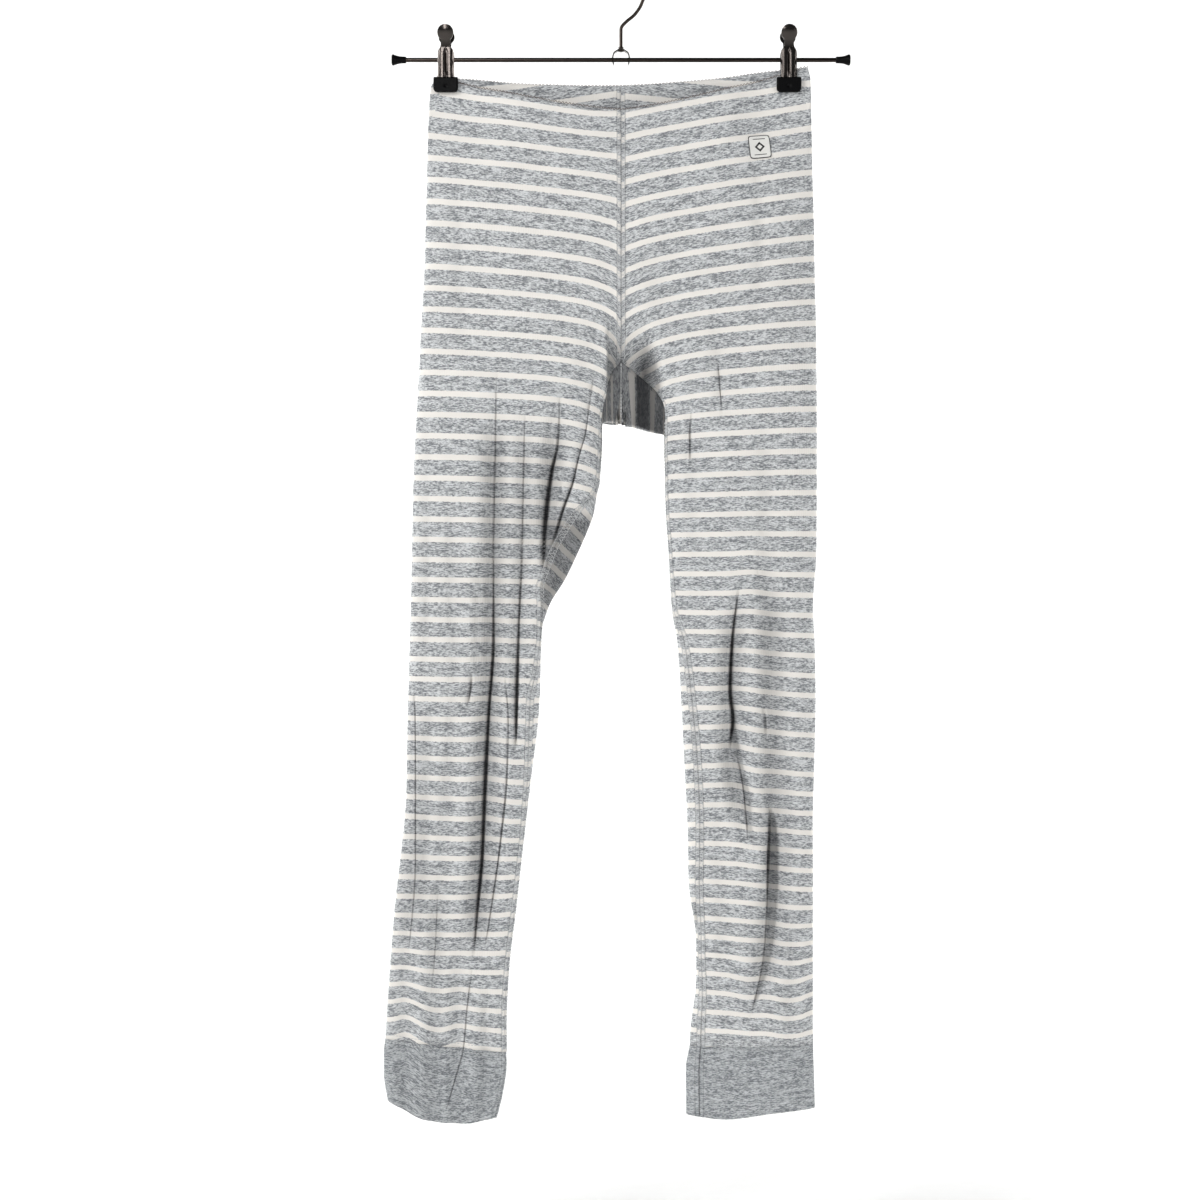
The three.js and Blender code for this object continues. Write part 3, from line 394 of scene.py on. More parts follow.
# Places where a fold carries the stripes up or down
STRIPE_WAVES = [
    ("right", 105, -720, 24, 110, 3.5),
    ("right", 150, -940, 16, 60, -4),
    ("left", -192, -975, 12, 60, 6),
    ("left", -166, -975, 13, 60, -4),
    ("left", -142, -975, 12, 50, 2.5),
    ("left", -88, -850, 16, 60, 2),
    ("left", -91, -760, 20, 60, -1.5),
    ("right", 118, -749, 14, 50, -2.5),
    ("right", 172, -925, 9, 40, 2.5),
    ("right", 116, -965, 12, 30, -1),
    ("right", 114, -917, 14, 26, -3),
    ("right", 116, -570, 14, 50, 2),
    ("left", -120, -700, 14, 120, 1.5),
]


def bent(value):
    """Signed power of a sine or cosine, which gives a flat section with rounded ends."""
    return np.sign(value) * np.abs(value) ** (2 / SECTION_POWER)


def row_at(leg, side, outline):
    """Everything that one row of a leg piece needs, from its height at the side fold."""
    name = leg.capitalize()
    on_leg = side < RISE["side"][-1]
    rise = lambda column: value_at(RISE, column, side, "side")
    seam_z = side if on_leg else rise("seamZ")
    back_z = side if on_leg else rise("backZ" + name)
    outer = value_at(outline, "outer", side)
    inner = value_at(outline, "inner", back_z)
    inset = value_at(outline, "inset", seam_z)
    leg_share = smooth(-371, -400, side)
    leg_turn = math.pi - math.acos((1 - 2 * inset / (outer - inner)) ** (SECTION_POWER / 2))
    return SimpleNamespace(
        side=side,
        outer=outer,
        seam_z=seam_z,
        back_z=back_z,
        seam_x=mix(rise("seam" + name), inner + inset, leg_share),
        back_x=mix(rise("back" + name), inner, leg_share),
        turn=mix(math.radians(rise("turn")), leg_turn, leg_share),
        back_turn=math.radians(rise("backTurn")),
        up=rise("up"),
        front=value_at(DEPTH, "front", side),
        back=value_at(DEPTH, "back", side),
        fold_y=SEAT_FOLD_Y * (1 - smooth(-371, -480, side)),
        roundness=smooth(-371, -430, side),
    )


def hollow_share(sign, x, z):
    """How far the front sheet is drawn back to the floor of the hollow at the crotch."""
    edge = lambda name: value_at(HOLLOW_WALLS, name, z)
    world = sign * x
    inside = smooth(edge("left") - edge("leftEdge"), edge("left") + edge("leftEdge"), world)
    inside = inside * smooth(edge("right") + edge("rightEdge"), edge("right") - edge("rightEdge"), world)
    return inside * value_at(HOLLOW_DROP, "share", z)


def front_points(row, sign, angle):
    reach = (1 - bent(np.cos(angle))) / (1 - bent(np.cos(row.turn)))
    x = row.outer + (row.seam_x - row.outer) * reach
    share = np.maximum(0, (x - row.seam_x) / (row.outer - row.seam_x))
    z = mix(row.seam_z, row.side, share ** FRONT_DROOP_POWER)
    y = -row.front * bent(np.sin(angle))
    y = mix(y, np.maximum(y, HOLLOW_FLOOR), hollow_share(sign, x, z))
    return np.stack([x, y, z], axis=-1)


def back_points(row, angle):
    reach = (1 - bent(np.cos(angle))) / (1 - bent(np.cos(row.back_turn)))
    x = row.outer + (row.back_x - row.outer) * reach
    share = np.maximum(0, (x - row.back_x) / (row.outer - row.back_x))
    z = mix(row.back_z, row.side, share ** BACK_DROOP_POWER)
    floor = np.where(angle > math.pi / 2, row.fold_y, 0)
    return np.stack([x, floor + (row.back - floor) * bent(np.sin(angle)), z], axis=-1)


def crotch_point(sign):
    leg = "right" if sign > 0 else "left"
    row = row_at(leg, CROTCH_SIDE_Z, OUTLINE[leg])
    return front_points(row, sign, np.array(row.turn))


def underside(row, sign, fold, front):
    """From the low fold of the seat, or the inner fold of the leg, forward to the seam."""
    seam_end = crotch_point(sign) if row.up < 1 else front[0]
    distance = np.linalg.norm(seam_end - fold)
    along = front[0] - front[1]
    along = along / np.linalg.norm(along) * 0.4 * distance
    leave = fold - [0, mix(SEAT_FOLD_TURN, 0.4 * distance, row.roundness), 0]
    arrive = seam_end + mix(CROTCH_RISE, along, row.roundness)
    share = np.arange(1, CURVE_STEPS + 1)[:, None] / CURVE_STEPS
    t = share * row.up
    points = ((1 - t) ** 3 * fold + 3 * t * (1 - t) ** 2 * leave
              + 3 * t * t * (1 - t) * arrive + t ** 3 * seam_end)
    end_x = 0 if row.up < 1 else seam_end[0]
    eased = mix(fold[0], end_x, share[:, 0] ** 1.5)
    points[:, 0] = mix(eased, points[:, 0], row.roundness)
    return points


def crease_lines(leg, face):
    return [table("z x open", line) for line in CREASES.get((leg, face), [])]


def crease_ends(line, z):
    """Fades a crease in and out at its two ends."""
    top, bottom = line["z"][0], line["z"][-1]
    return smooth(top, top - CREASE_FADE, z) * smooth(bottom, bottom + CREASE_FADE, z)


def crowding(leg, face, points):
    """How much closer together the columns stand near the sharp creases."""
    x, z = points[:, 0] * SIGN[leg], points[:, 2]
    weight = np.ones(len(points))
    for line in crease_lines(leg, face):
        apart = (x - value_at(line, "x", z)) / (3.2 + 1.5 * value_at(line, "open", z))
        weight += 2.6 * crease_ends(line, z) * np.exp(-apart * apart)
    if (leg, face) == ("left", "front"):
        apart = (x - value_at(HOLLOW_WALLS, "left", z)) / 3
        weight += 5 * value_at(HOLLOW_DROP, "share", z) * np.exp(-apart * apart)
    return weight


def spread(points, count, trim, weight):
    """Gives points along a line, at steps that are shorter where the weight is larger."""
    step = np.linalg.norm(np.diff(points, axis=0), axis=1)
    length = np.concatenate([[0], np.cumsum(step)])
    effort = np.concatenate([[0], np.cumsum(step * (weight[1:] + weight[:-1]) / 2)])
    wanted = np.linspace(np.interp(trim, length, effort), effort[-1], count + 1)
    return np.stack([np.interp(wanted, effort, points[:, k]) for k in range(3)], axis=1)


def row_points(leg, side, outline):
    """Points across one row from the front edge, round the side fold, to the back edge."""
    sign = SIGN[leg]
    row = row_at(leg, side, outline)
    steps = np.arange(CURVE_STEPS + 1) / CURVE_STEPS
    front = front_points(row, sign, row.turn * (1 - steps))
    back = back_points(row, row.back_turn * steps)
    if row.up > 0:
        back = np.concatenate([back, underside(row, sign, back[-1], front)])
    trim = 0 if side > CROTCH_SIDE_Z else SEAM_GAP / 2
    front = spread(front, FRONT_COLUMNS, trim, crowding(leg, "front", front))
    back = back[::-1]
    back = spread(back, BACK_COLUMNS, trim, crowding(leg, "back", back))[::-1]
    points = np.concatenate([front, back[1:]])
    if side >= CROTCH_SIDE_Z:
        points[:, 0] += SEAM_GAP / 2 * np.exp(-points[:, 0])
    return points


def along_rows(grid):
    """Distance of each point along its row from the first column."""
    step = np.linalg.norm(np.diff(grid, axis=1), axis=2)
    return np.concatenate([np.zeros((len(grid), 1)), np.cumsum(step, axis=1)], axis=1)


def edge_distance(grid):
    """Distance of each point from the nearer of the piece's two edges."""
    length = along_rows(grid)
    return np.minimum(length, length[:, -1:] - length)


def flatness_of(grid, sides):
    """How far each point is free to be pressed in: not at the side fold or the inseam's edges."""
    length = along_rows(grid)
    middle = length[:, FRONT_COLUMNS][:, None]
    total = length[:, -1:]
    front_step = middle / CAD_COLUMNS
    back_step = (total - middle) / CAD_COLUMNS
    step = np.where(length < middle, front_step, back_step)
    from_side = np.clip(np.abs(length - middle) / (2 * step), 0, 1)
    from_edge = np.clip(np.minimum(length, total - length) / (2 * step), 0, 1)
    return from_side * np.where(sides[:, None] < CROTCH_SIDE_Z, from_edge, 1)


def pinch_share(x, z):
    share = np.zeros_like(x)
    for clip in CLIP_X.values():
        dx = np.maximum(0, np.abs(x - clip) - PINCH.half_width) / PINCH.fade_across
        dz = np.maximum(0, PINCH.low - z) / PINCH.fade_down
        share = np.maximum(share, 1 - smooth(0, 1, np.hypot(dx, dz)))
    return share


def trough_depth(troughs, leg, face, x, z):
    depth = np.zeros_like(x)
    for owner, side, deepest, half_width, points in troughs:
        if (owner, side) != (leg, face):
            continue
        line = table("z x", points)
        top, bottom = line["z"][0], line["z"][-1]
        ends = smooth(top, top - FOLD_FADE, z) * smooth(bottom, bottom + FOLD_FADE, z)
        apart = (x - value_at(line, "x", z)) / half_width
        depth += deepest * ends * np.exp(-apart * apart)
    return depth


def crease_depth(leg, face, x, z):
    """Depth of the sharp creases, and the shade painted into the colour in and beside them and in the right leg's open
    folds.
    """
    depth = np.zeros_like(x)
    shade = np.zeros_like(x)
    for line in crease_lines(leg, face):
        half = value_at(line, "open", z)
        apart = np.abs(x - value_at(line, "x", z)) / (half + 0.35)
        ends = crease_ends(line, z)
        inside = ends * np.exp(-apart ** 3)
        # A painted shadow lies beside each crease, on the side of smaller x, and the crease itself is painted dark
        beside = (value_at(line, "x", z) - x) / CREASE_SHADOW
        shadow = ends * np.clip(half / 3, 0.1, 0.45) * np.where(beside > 0, np.exp(-beside * beside), 0)
        depth = np.maximum(depth, CREASE_DEPTH * (half + 0.2) * inside)
        shade = np.maximum(shade, np.maximum(shadow, inside * np.clip(half / 1.3 + 0.15, 0.25, 1)))
    # The open folds are painted with the shadow that they hold
    for fold in OPEN_FOLDS if (leg, face) == ("right", "front") else []:
        half = value_at(fold, "half", z)
        inside = smooth(1.6, -1.6, np.abs(x - value_at(fold, "x", z)) - half)
        inside = inside * smooth(fold["z"][0], fold["z"][0] - 8, z) * smooth(fold["z"][-1], fold["z"][-1] + 8, z)
        depth = np.maximum(depth, OPEN_FOLD_SLOPE * half * inside)
        shade = np.maximum(shade, value_at(fold, "shade", z) * inside)
    return depth, shade


def cuff_fall(leg, x):
    """The left cuff's seam falls a little towards the middle."""
    outline = OUTLINE[leg]
    return CUFF_TILT[leg] * (np.abs(x) - (outline["outer"][-1] + outline["inner"][-1]) / 2)


def settle(grid, leg, flatness, near, strength):
    """Presses the folds in, pinches the cloth at the clips and tilts the waist. Returns the
    settled grid and how much shade is painted into the colour at each point."""
    x, y, z = (grid[..., k].copy() for k in range(3))
    z += cuff_fall(leg, x) * smooth(CUFF_TILT_START_Z, CUFF_SEAM_Z, z)
    x *= SIGN[leg]
    front = y < 0
    shade = np.zeros_like(x)
    for face, chosen, inward in (("front", front, 1), ("back", ~front, -1)):
        depth, closed = crease_depth(leg, face, x, z)
        pressed = trough_depth(FOLDS, leg, face, x, z) + strength * depth
        pressed += strength * trough_depth(RIPPLES, leg, face, x, z)
        pressed = pressed * flatness + strength * depth * (near - flatness)
        # Painted shade: the creases' own shade, or a shade that grows with how deep each fold and ripple is pressed,
        # whichever is darker
        closed = np.maximum(closed * near, TROUGH_SHADE * flatness * pressed)
        y = np.where(chosen, y + inward * pressed, y)
        shade = np.where(chosen, closed, shade)
    share = pinch_share(x, z)
    y = mix(y, PINCH.y * flatness * np.sign(y), share)
    z += WAIST_TILT * x * smooth(TILT_END_Z, WAIST_SIDE_Z, z)
    return np.stack([x, y, z], axis=-1), shade * (1 - share)


def seat_shade(leg, base, sides):
    """Shade painted into the colour between the thighs, in the hollow at the crotch and inside the left flap."""
    x, z = base[..., 0], base[..., 2]
    under = underneath(base, sides)
    deep = hollow_share(SIGN[leg], x, z) * (base[..., 1] < 0) * smooth(-326, -372, z)
    if leg == "left":
        flap = value_at(FLAP_SHADE, "shade", z)
        behind = 0.66 * smooth(-488, -512, z) * smooth(-600, -575, z) * smooth(70, 67, x) * (base[..., 1] < 0)
        return np.maximum(np.maximum(under * flap, 0.62 * deep), behind)
    dark = 0.74 + 0.3 * smooth(11, 15, x) - 0.12 * smooth(23, 28, x)
    fade = smooth(-600, -480, sides)[:, None]
    front = 0.62 * deep + 0.35 * deep * np.exp(-((x - 21) / 6) ** 2)
    return np.maximum(under * dark * fade, front)


def grid_normals(grid, sign):
    """Outward direction at each point of a grid of rows."""
    fall = np.gradient(grid, axis=0)
    step = np.gradient(grid, axis=1)
    return unit(np.cross(fall, step)) * sign


def square_edges(normals, sides):
    """The two edges of a piece share one direction along the inseam, and lie square to the
    middle plane along the centre seams."""
    first, last = normals[:, 0], normals[:, -1]
    above = sides >= CROTCH_SIDE_Z
    for edge in (first, last):
        edge[above, 0] = 0
        edge[:] = unit(edge)
    shared = unit(first + last)
    below = sides <= CROTCH_SIDE_Z
    first[below] = shared[below]
    last[below] = shared[below]
    return normals


def seam_relief(grid, lift):
    """The cloth is doubled under each cover seam, and dips where the two edges meet."""
    edge = edge_distance(grid)
    band = 1 - smooth(2.8, 4.2, edge)
    pucker = 0.25 * np.sin(grid[..., 2] / 2.1) * np.exp(-((edge - 5) / 4) ** 2)
    return lift * band - 0.7 * lift * np.exp(-(edge / 0.8) ** 2) + pucker * lift


def fine_relief(grid, length):
    """Slight unevenness of hung jersey, which runs mostly down the cloth."""
    x, z = length, grid[..., 2]
    wave = np.sin(x / 9.1 + 0.9 * np.sin(z / 83) + z / 410) * (0.5 + 0.5 * np.sin(z / 131 + x / 57))
    wave += 0.6 * np.sin(x / 5.3 - 0.7 * np.sin(z / 61 + 1.3)) * (0.5 + 0.5 * np.sin(z / 97 + x / 41 + 2))
    wave += 0.5 * np.sin(z / 17 + 2.1 * np.sin(x / 23)) * np.sin(x / 29 + z / 150)
    return 0.32 * wave


def underneath(base, sides):
    """How far each point lies round the low fold of the seat, or the inner fold of the leg."""
    x, y = base[..., 0], base[..., 1]
    fold_y = SEAT_FOLD_Y * (1 - smooth(-371, -480, sides))[:, None]
    middle = (x[:, FRONT_COLUMNS] / 2)[:, None]
    behind = np.arange(base.shape[1]) > FRONT_COLUMNS
    below = (sides < RISE["side"][5])[:, None]
    return np.where(behind & below & (x < middle), smooth(0, 5, fold_y - y), 0)


def back_height(leg, base, sides, outer):
    """Height at the side fold that each stripe on the back belongs to."""
    x, z = base[..., 0], base[..., 2]
    fall = value_at(BACK_DROOP, "fall", z)
    share = np.where(fall < 0, np.clip(1 - x / BACK_RISE_REACH, 0, 1),
                     np.exp(-x / BACK_FALL_REACH) * (1 - np.clip(x / outer, 0, 1) ** 4))
    free = z + fall * share
    name = leg.capitalize()
    rows = np.linspace(-328, -500, 44)
    fold = zip(value_at(RISE, "back" + name, rows, "side"), value_at(RISE, "backZ" + name, rows, "side"))
    apart = np.min([np.hypot(x - fold_x, z - fold_z) for fold_x, fold_z in fold], axis=0)
    hidden = np.maximum(underneath(base, sides), np.exp(-(apart / SEAT_BLEND) ** 2))
    return mix(free, np.broadcast_to(sides[:, None], free.shape), hidden)


def stripe_count(leg, grid, base, sides):
    """Stripe number at each point, which the knit's courses follow."""
    x, z = base[..., 0], base[..., 2]
    outer = np.array([value_at(OUTLINE[leg], "outer", side) for side in sides])[:, None]
    share = np.clip(x / outer, 0, 1)
    height = z.copy()
    for _ in range(6):
        even = value_at(DROOP[leg], "even", height)
        steep = value_at(DROOP[leg], "steep", height)
        sharp = value_at(DROOP[leg], "sharp", height)
        height = z + even * (1 - share) + steep * np.exp(-x / STEEP_REACH[leg]) + sharp * np.exp(-x / SHARP_REACH)
    for owner, wx, wz, half_width, half_height, lift in STRIPE_WAVES:
        if owner == leg:
            dx = (grid[..., 0] - wx) / half_width
            dz = (z - wz) / half_height
            height -= lift * np.exp(-dx * dx - dz * dz)
    back = back_height(leg, base, sides, outer)
    length = along_rows(base)
    from_edge = length[:, -1:] - length
    at_side = np.repeat(sides[:, None], base.shape[1], axis=1)
    flap = smooth(-430, -500, at_side) * smooth(-640, -590, at_side) if leg == "left" else 0
    back += 0.8 * from_edge * np.exp(-(from_edge / 55) ** 2) * flap
    # Below the crotch the back's courses meet the front's at the inseam
    step = (height[:, :1] - sides[:, None]) * smooth(-395, -470, sides)[:, None]
    reach = length[:, -1:] - length[:, FRONT_COLUMNS][:, None]
    back += step * (1 - np.clip(from_edge / reach, 0, 1)) ** 2
    columns = np.arange(base.shape[1])
    height = np.where(columns <= FRONT_COLUMNS, height, back)
    return value_at(STRIPE_COUNT[leg], "count", height)


def make_cloth(leg, sides, outline, thickness, strength, place=None):
    """Works out one tube of cloth: its outer grid, directions, courses and painted shade."""
    sides = np.asarray(sides, float)
    base = np.stack([row_points(leg, side, outline) for side in sides])
    near = np.clip(edge_distance(base) / 7, 0, 1)
    grid, shade = settle(base, leg, flatness_of(base, sides), near, strength)
    if place is not None:
        grid = place(grid)
    shade = np.maximum(shade, seat_shade(leg, base, sides))
    length = along_rows(base) - along_rows(base)[:, FRONT_COLUMNS][:, None]
    free = 1 - pinch_share(grid[..., 0], grid[..., 2])
    normals = square_edges(grid_normals(grid, SIGN[leg]), sides)
    relief = fine_relief(grid, length) * strength + seam_relief(base, 0.5)
    grid = grid + normals * (relief * free)[..., None]
    grid[..., 0] = SIGN[leg] * np.maximum(SIGN[leg] * grid[..., 0], SEAM_GAP / 2)
    normals = square_edges(grid_normals(grid, SIGN[leg]), sides)
    return SimpleNamespace(
        leg=leg,
        sides=sides,
        base=base,
        grid=grid,
        normals=normals,
        inner=grid - normals * thickness,
        across=length,
        shade=shade,
        from_edge=edge_distance(base),
        count=stripe_count(leg, grid, base, sides),
    )


def wall_faces(rows, columns):
    """Faces of a closed wall between an outer and an inner grid."""
    outer = np.arange(rows * columns).reshape(rows, columns)
    inner = outer + rows * columns
    sheet = lambda a: np.stack([a[:-1, :-1], a[1:, :-1], a[1:, 1:], a[:-1, 1:]], axis=-1).reshape(-1, 4)
    rim = lambda a, b: np.stack([a[:-1], a[1:], b[1:], b[:-1]], axis=-1)
    return np.concatenate([
        sheet(outer),
        sheet(inner)[:, ::-1],
        rim(outer[0], inner[0]),
        rim(inner[-1], outer[-1]),
        rim(inner[:, 0], outer[:, 0]),
        rim(outer[:, -1], inner[:, -1]),
    ])


def new_piece(name, points, faces, material, replaces=(), uv=None, values=None, crisp=None):
    """Makes a mesh piece from points in millimetres and lets it ride on the part's body."""
    mesh = bpy.data.meshes.new(name)
    mesh.from_pydata((np.asarray(points) * MM).tolist(), [], [list(map(int, face)) for face in faces])
    mesh.update()
    if uv is not None:
        layer = mesh.uv_layers.new(name="Cloth")
        corner = np.empty(len(mesh.loops), dtype=np.int32)
        mesh.loops.foreach_get("vertex_index", corner)
        layer.data.foreach_set("uv", np.asarray(uv, np.float32)[corner].ravel())
    for label, value in (values or {}).items():
        attribute = mesh.attributes.new(label, "FLOAT", "POINT")
        attribute.data.foreach_set("value", np.asarray(value, np.float32).ravel())
    mesh.shade_smooth()
    if crisp is not None:
        mesh.set_sharp_from_angle(angle=math.radians(crisp))
    piece = bpy.data.objects.new(name, mesh)
    bpy.context.scene.collection.objects.link(piece)
    mesh.materials.append(material)
    turn_outwards(mesh)
    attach(piece, "root")
    if replaces:
        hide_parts(*replaces)
    return piece


def turn_outwards(mesh):
    """Flips a closed mesh whose faces point in."""
    mesh.calc_loop_triangles()
    co = np.empty(len(mesh.vertices) * 3)
    mesh.vertices.foreach_get("co", co)
    co = co.reshape(-1, 3)
    corners = np.empty(len(mesh.loop_triangles) * 3, dtype=np.int32)
    mesh.loop_triangles.foreach_get("vertices", corners)
    a, b, c = (co[corners.reshape(-1, 3)[:, k]] for k in range(3))
    if np.einsum("ij,ij->i", a, np.cross(b, c)).sum() < 0:
        mesh.flip_normals()


def cloth_piece(name, cloth, material, replaces):
    rows, columns = cloth.grid.shape[:2]
    points = np.concatenate([cloth.grid.reshape(-1, 3), cloth.inner.reshape(-1, 3)])
    uv = np.stack([cloth.across, -cloth.count * STRIPE_PITCH], axis=-1).reshape(-1, 2) * MM
    shade = cloth.shade.ravel()
    return new_piece(
        name,
        points,
        wall_faces(rows, columns),
        material,
        replaces,
        uv=np.concatenate([uv, uv]),
        # Painted shade on the outer face, and a third of it on the inner face
        values={"painted_shade": np.concatenate([shade, shade * 0.3]), "from_edge": np.tile(cloth.from_edge.ravel(), 2)},
    )


# Materials

def add_node(tree, kind, inputs=None, **settings):
    """Adds a node with its settings, and fills its inputs with values or with links."""
    node = tree.nodes.new(kind)
    for name, value in settings.items():
        setattr(node, name, value)
    for key, value in (inputs or {}).items():
        if isinstance(value, bpy.types.NodeSocket):
            tree.links.new(value, node.inputs[key])
        else:
            node.inputs[key].default_value = value
    return node


def new_material(name):
    material = bpy.data.materials.new(name)
    material.use_nodes = True
    tree = material.node_tree
    tree.nodes.clear()
    return material, tree


def finish_material(tree, inputs):
    shader = add_node(tree, "ShaderNodeBsdfPrincipled", inputs)
    add_node(tree, "ShaderNodeOutputMaterial", {"Surface": shader.outputs["BSDF"]})
    return shader


def jersey(name, settings, striped):
    """Melange cotton jersey, circular knitted from grey yarn spun of black and white fibre:
    matt and slightly hairy, with short flecks along its courses."""
    material, tree = new_material(name)
    place = add_node(tree, "ShaderNodeUVMap", uv_map="Cloth").outputs["UV"]
    course = add_node(tree, "ShaderNodeVectorMath", {0: place, 1: (1000, 1000, 1000)}, operation="MULTIPLY")
    parts = add_node(tree, "ShaderNodeSeparateXYZ", {0: course.outputs[0]})
    across, down = parts.outputs["X"], parts.outputs["Y"]

    def fleck(length, height, detail, seed):
        size = add_node(tree, "ShaderNodeVectorMath", {0: course.outputs[0], 1: (1 / length, 1 / height, 1)},
                        operation="MULTIPLY")
        moved = add_node(tree, "ShaderNodeVectorMath", {0: size.outputs[0], 1: (seed, seed * 1.7, seed)},
                         operation="ADD")
        return add_node(tree, "ShaderNodeTexNoise", {"Vector": moved.outputs[0], "Scale": 1.0,
                                                     "Detail": detail, "Roughness": 0.6}).outputs[0]

    # Flecks of dark and pale fibre, 4 mm long and 1 mm high, with finer ones over them
    coarse = fleck(4.0, 0.95, 2.0, 3.1)
    fine = fleck(2.0, 0.75, 1.0, 11.7)
    cloud = fleck(30.0, 9.0, 1.0, 7.3)
    patch = fleck(13.0, 4.0, 2.0, 5.9)
    short = add_node(tree, "ShaderNodeMix", {0: 0.35, 2: coarse, 3: fine}, data_type="FLOAT").outputs[0]
    blend = add_node(tree, "ShaderNodeMix", {0: 0.26, 2: short, 3: patch}, data_type="FLOAT").outputs[0]
    melange = add_node(tree, "ShaderNodeMapRange", {0: blend, 1: 0.41, 2: 0.59},
                       interpolation_type="SMOOTHSTEP").outputs[0]
    dark, pale = (settings.dark_fibre, settings.pale_fibre) if striped else (
        settings.cuff_dark, settings.cuff_pale)
    grey = add_node(tree, "ShaderNodeMix", {0: melange, 6: dark, 7: pale}, data_type="RGBA").outputs[2]
    # The cover seam's doubled cloth sits a yarn or two out of step, between two pressed lines
    from_edge = add_node(tree, "ShaderNodeAttribute", attribute_name="from_edge").outputs["Fac"]
    in_seam = add_node(tree, "ShaderNodeMapRange", {0: from_edge, 1: 3.7, 2: 3.3}).outputs[0]
    pressed = add_node(tree, "ShaderNodeMath", {0: from_edge, 1: 3.75, 2: 0.42}, operation="COMPARE").outputs[0]
    joined = add_node(tree, "ShaderNodeMath", {0: from_edge, 1: 0.35}, operation="LESS_THAN").outputs[0]
    colour = grey
    if striped:
        # Cream stripes, one knitted in for each 18.5 mm of cloth, with edges a yarn wide
        wobble = add_node(tree, "ShaderNodeMath", {0: fine, 1: 0.5}, operation="SUBTRACT").outputs[0]
        uneven = add_node(tree, "ShaderNodeMath", {0: wobble, 1: 1.4, 2: down},
                          operation="MULTIPLY_ADD").outputs[0]
        moved = add_node(tree, "ShaderNodeMath", {0: in_seam, 1: 1.8, 2: uneven}, operation="MULTIPLY_ADD").outputs[0]
        number = add_node(tree, "ShaderNodeMath", {0: moved, 1: STRIPE_PITCH}, operation="DIVIDE").outputs[0]
        shifted = add_node(tree, "ShaderNodeMath", {0: number, 1: 0.5}, operation="ADD").outputs[0]
        part = add_node(tree, "ShaderNodeMath", {0: shifted}, operation="FRACT").outputs[0]
        centred = add_node(tree, "ShaderNodeMath", {0: part, 1: 0.5}, operation="SUBTRACT").outputs[0]
        away = add_node(tree, "ShaderNodeMath", {0: centred}, operation="ABSOLUTE").outputs[0]
        half = settings.stripe_share / 2
        stripe = add_node(tree, "ShaderNodeMapRange", {0: away, 1: half + 0.012, 2: half - 0.012},
                          interpolation_type="SMOOTHSTEP").outputs[0]
        cream = add_node(tree, "ShaderNodeMix", {0: cloud, 6: settings.cream, 7: settings.cream_shade},
                         data_type="RGBA").outputs[2]
        colour = add_node(tree, "ShaderNodeMix", {0: stripe, 6: grey, 7: cream}, data_type="RGBA").outputs[2]
    veil = add_node(tree, "ShaderNodeMath", {0: in_seam, 1: 0.14}, operation="MULTIPLY").outputs[0]
    colour = add_node(tree, "ShaderNodeMix", {0: veil, 6: colour, 7: settings.thread},
                      data_type="RGBA").outputs[2]
    # Thin dark lines are painted along the two pressed lines and where the two edges meet: painted shade of those
    # small grooves
    either = add_node(tree, "ShaderNodeMath", {0: pressed, 1: joined}, operation="MAXIMUM").outputs[0]
    line = add_node(tree, "ShaderNodeMath", {0: either, 1: 0.26}, operation="MULTIPLY").outputs[0]
    # Painted shade: the colour is darkened towards near black in the creases, in the hollow between the thighs and
    # inside the left flap, where shade falls
    closed = add_node(tree, "ShaderNodeAttribute", attribute_name="painted_shade").outputs["Fac"]
    inner = add_node(tree, "ShaderNodeMath", {0: closed, 1: settings.crease_shade}, operation="MULTIPLY",
                     use_clamp=True).outputs[0]
    depth = add_node(tree, "ShaderNodeMath", {0: inner, 1: line}, operation="MAXIMUM").outputs[0]
    colour = add_node(tree, "ShaderNodeMix", {0: depth, 6: colour, 7: linear("#17181B")},
                      data_type="RGBA").outputs[2]
    # Wales 1.1 mm apart would be too fine to show, so they are drawn at 2.2 mm
    wale = add_node(tree, "ShaderNodeMath", {0: across, 1: math.pi / 2.2}, operation="MULTIPLY").outputs[0]
    rib = add_node(tree, "ShaderNodeMath", {0: wale}, operation="SINE").outputs[0]
    ridge = add_node(tree, "ShaderNodeMath", {0: rib}, operation="ABSOLUTE").outputs[0]
    hair = add_node(tree, "ShaderNodeMath", {0: coarse, 1: 1.6, 2: ridge}, operation="MULTIPLY_ADD").outputs[0]
    bump = add_node(tree, "ShaderNodeBump", {"Strength": 0.35, "Distance": 0.25 * MM, "Height": hair}).outputs[0]
    finish_material(tree, {
        "Base Color": colour,
        "Roughness": 0.9,
        "Normal": bump,
        "Specular IOR Level": 0.25,
        "Sheen Weight": 0.12,
        "Sheen Roughness": 0.5,
        "Sheen Tint": linear("#F2F3F5"),
    })
    return material


def sewing_thread(settings):
    """Spun polyester thread, twisted and soft, which catches a little light along each stitch."""
    material, tree = new_material("spun_polyester_thread")
    place = add_node(tree, "ShaderNodeTexCoord").outputs["Object"]
    twist = add_node(tree, "ShaderNodeTexNoise", {"Vector": place, "Scale": 2400.0, "Detail": 1.0}).outputs[0]
    colour = add_node(tree, "ShaderNodeMix", {0: twist, 6: settings.thread, 7: linear("#E9E9E8")},
                      data_type="RGBA").outputs[2]
    finish_material(tree, {"Base Color": colour, "Roughness": 0.75, "Sheen Weight": 0.1})
    return material


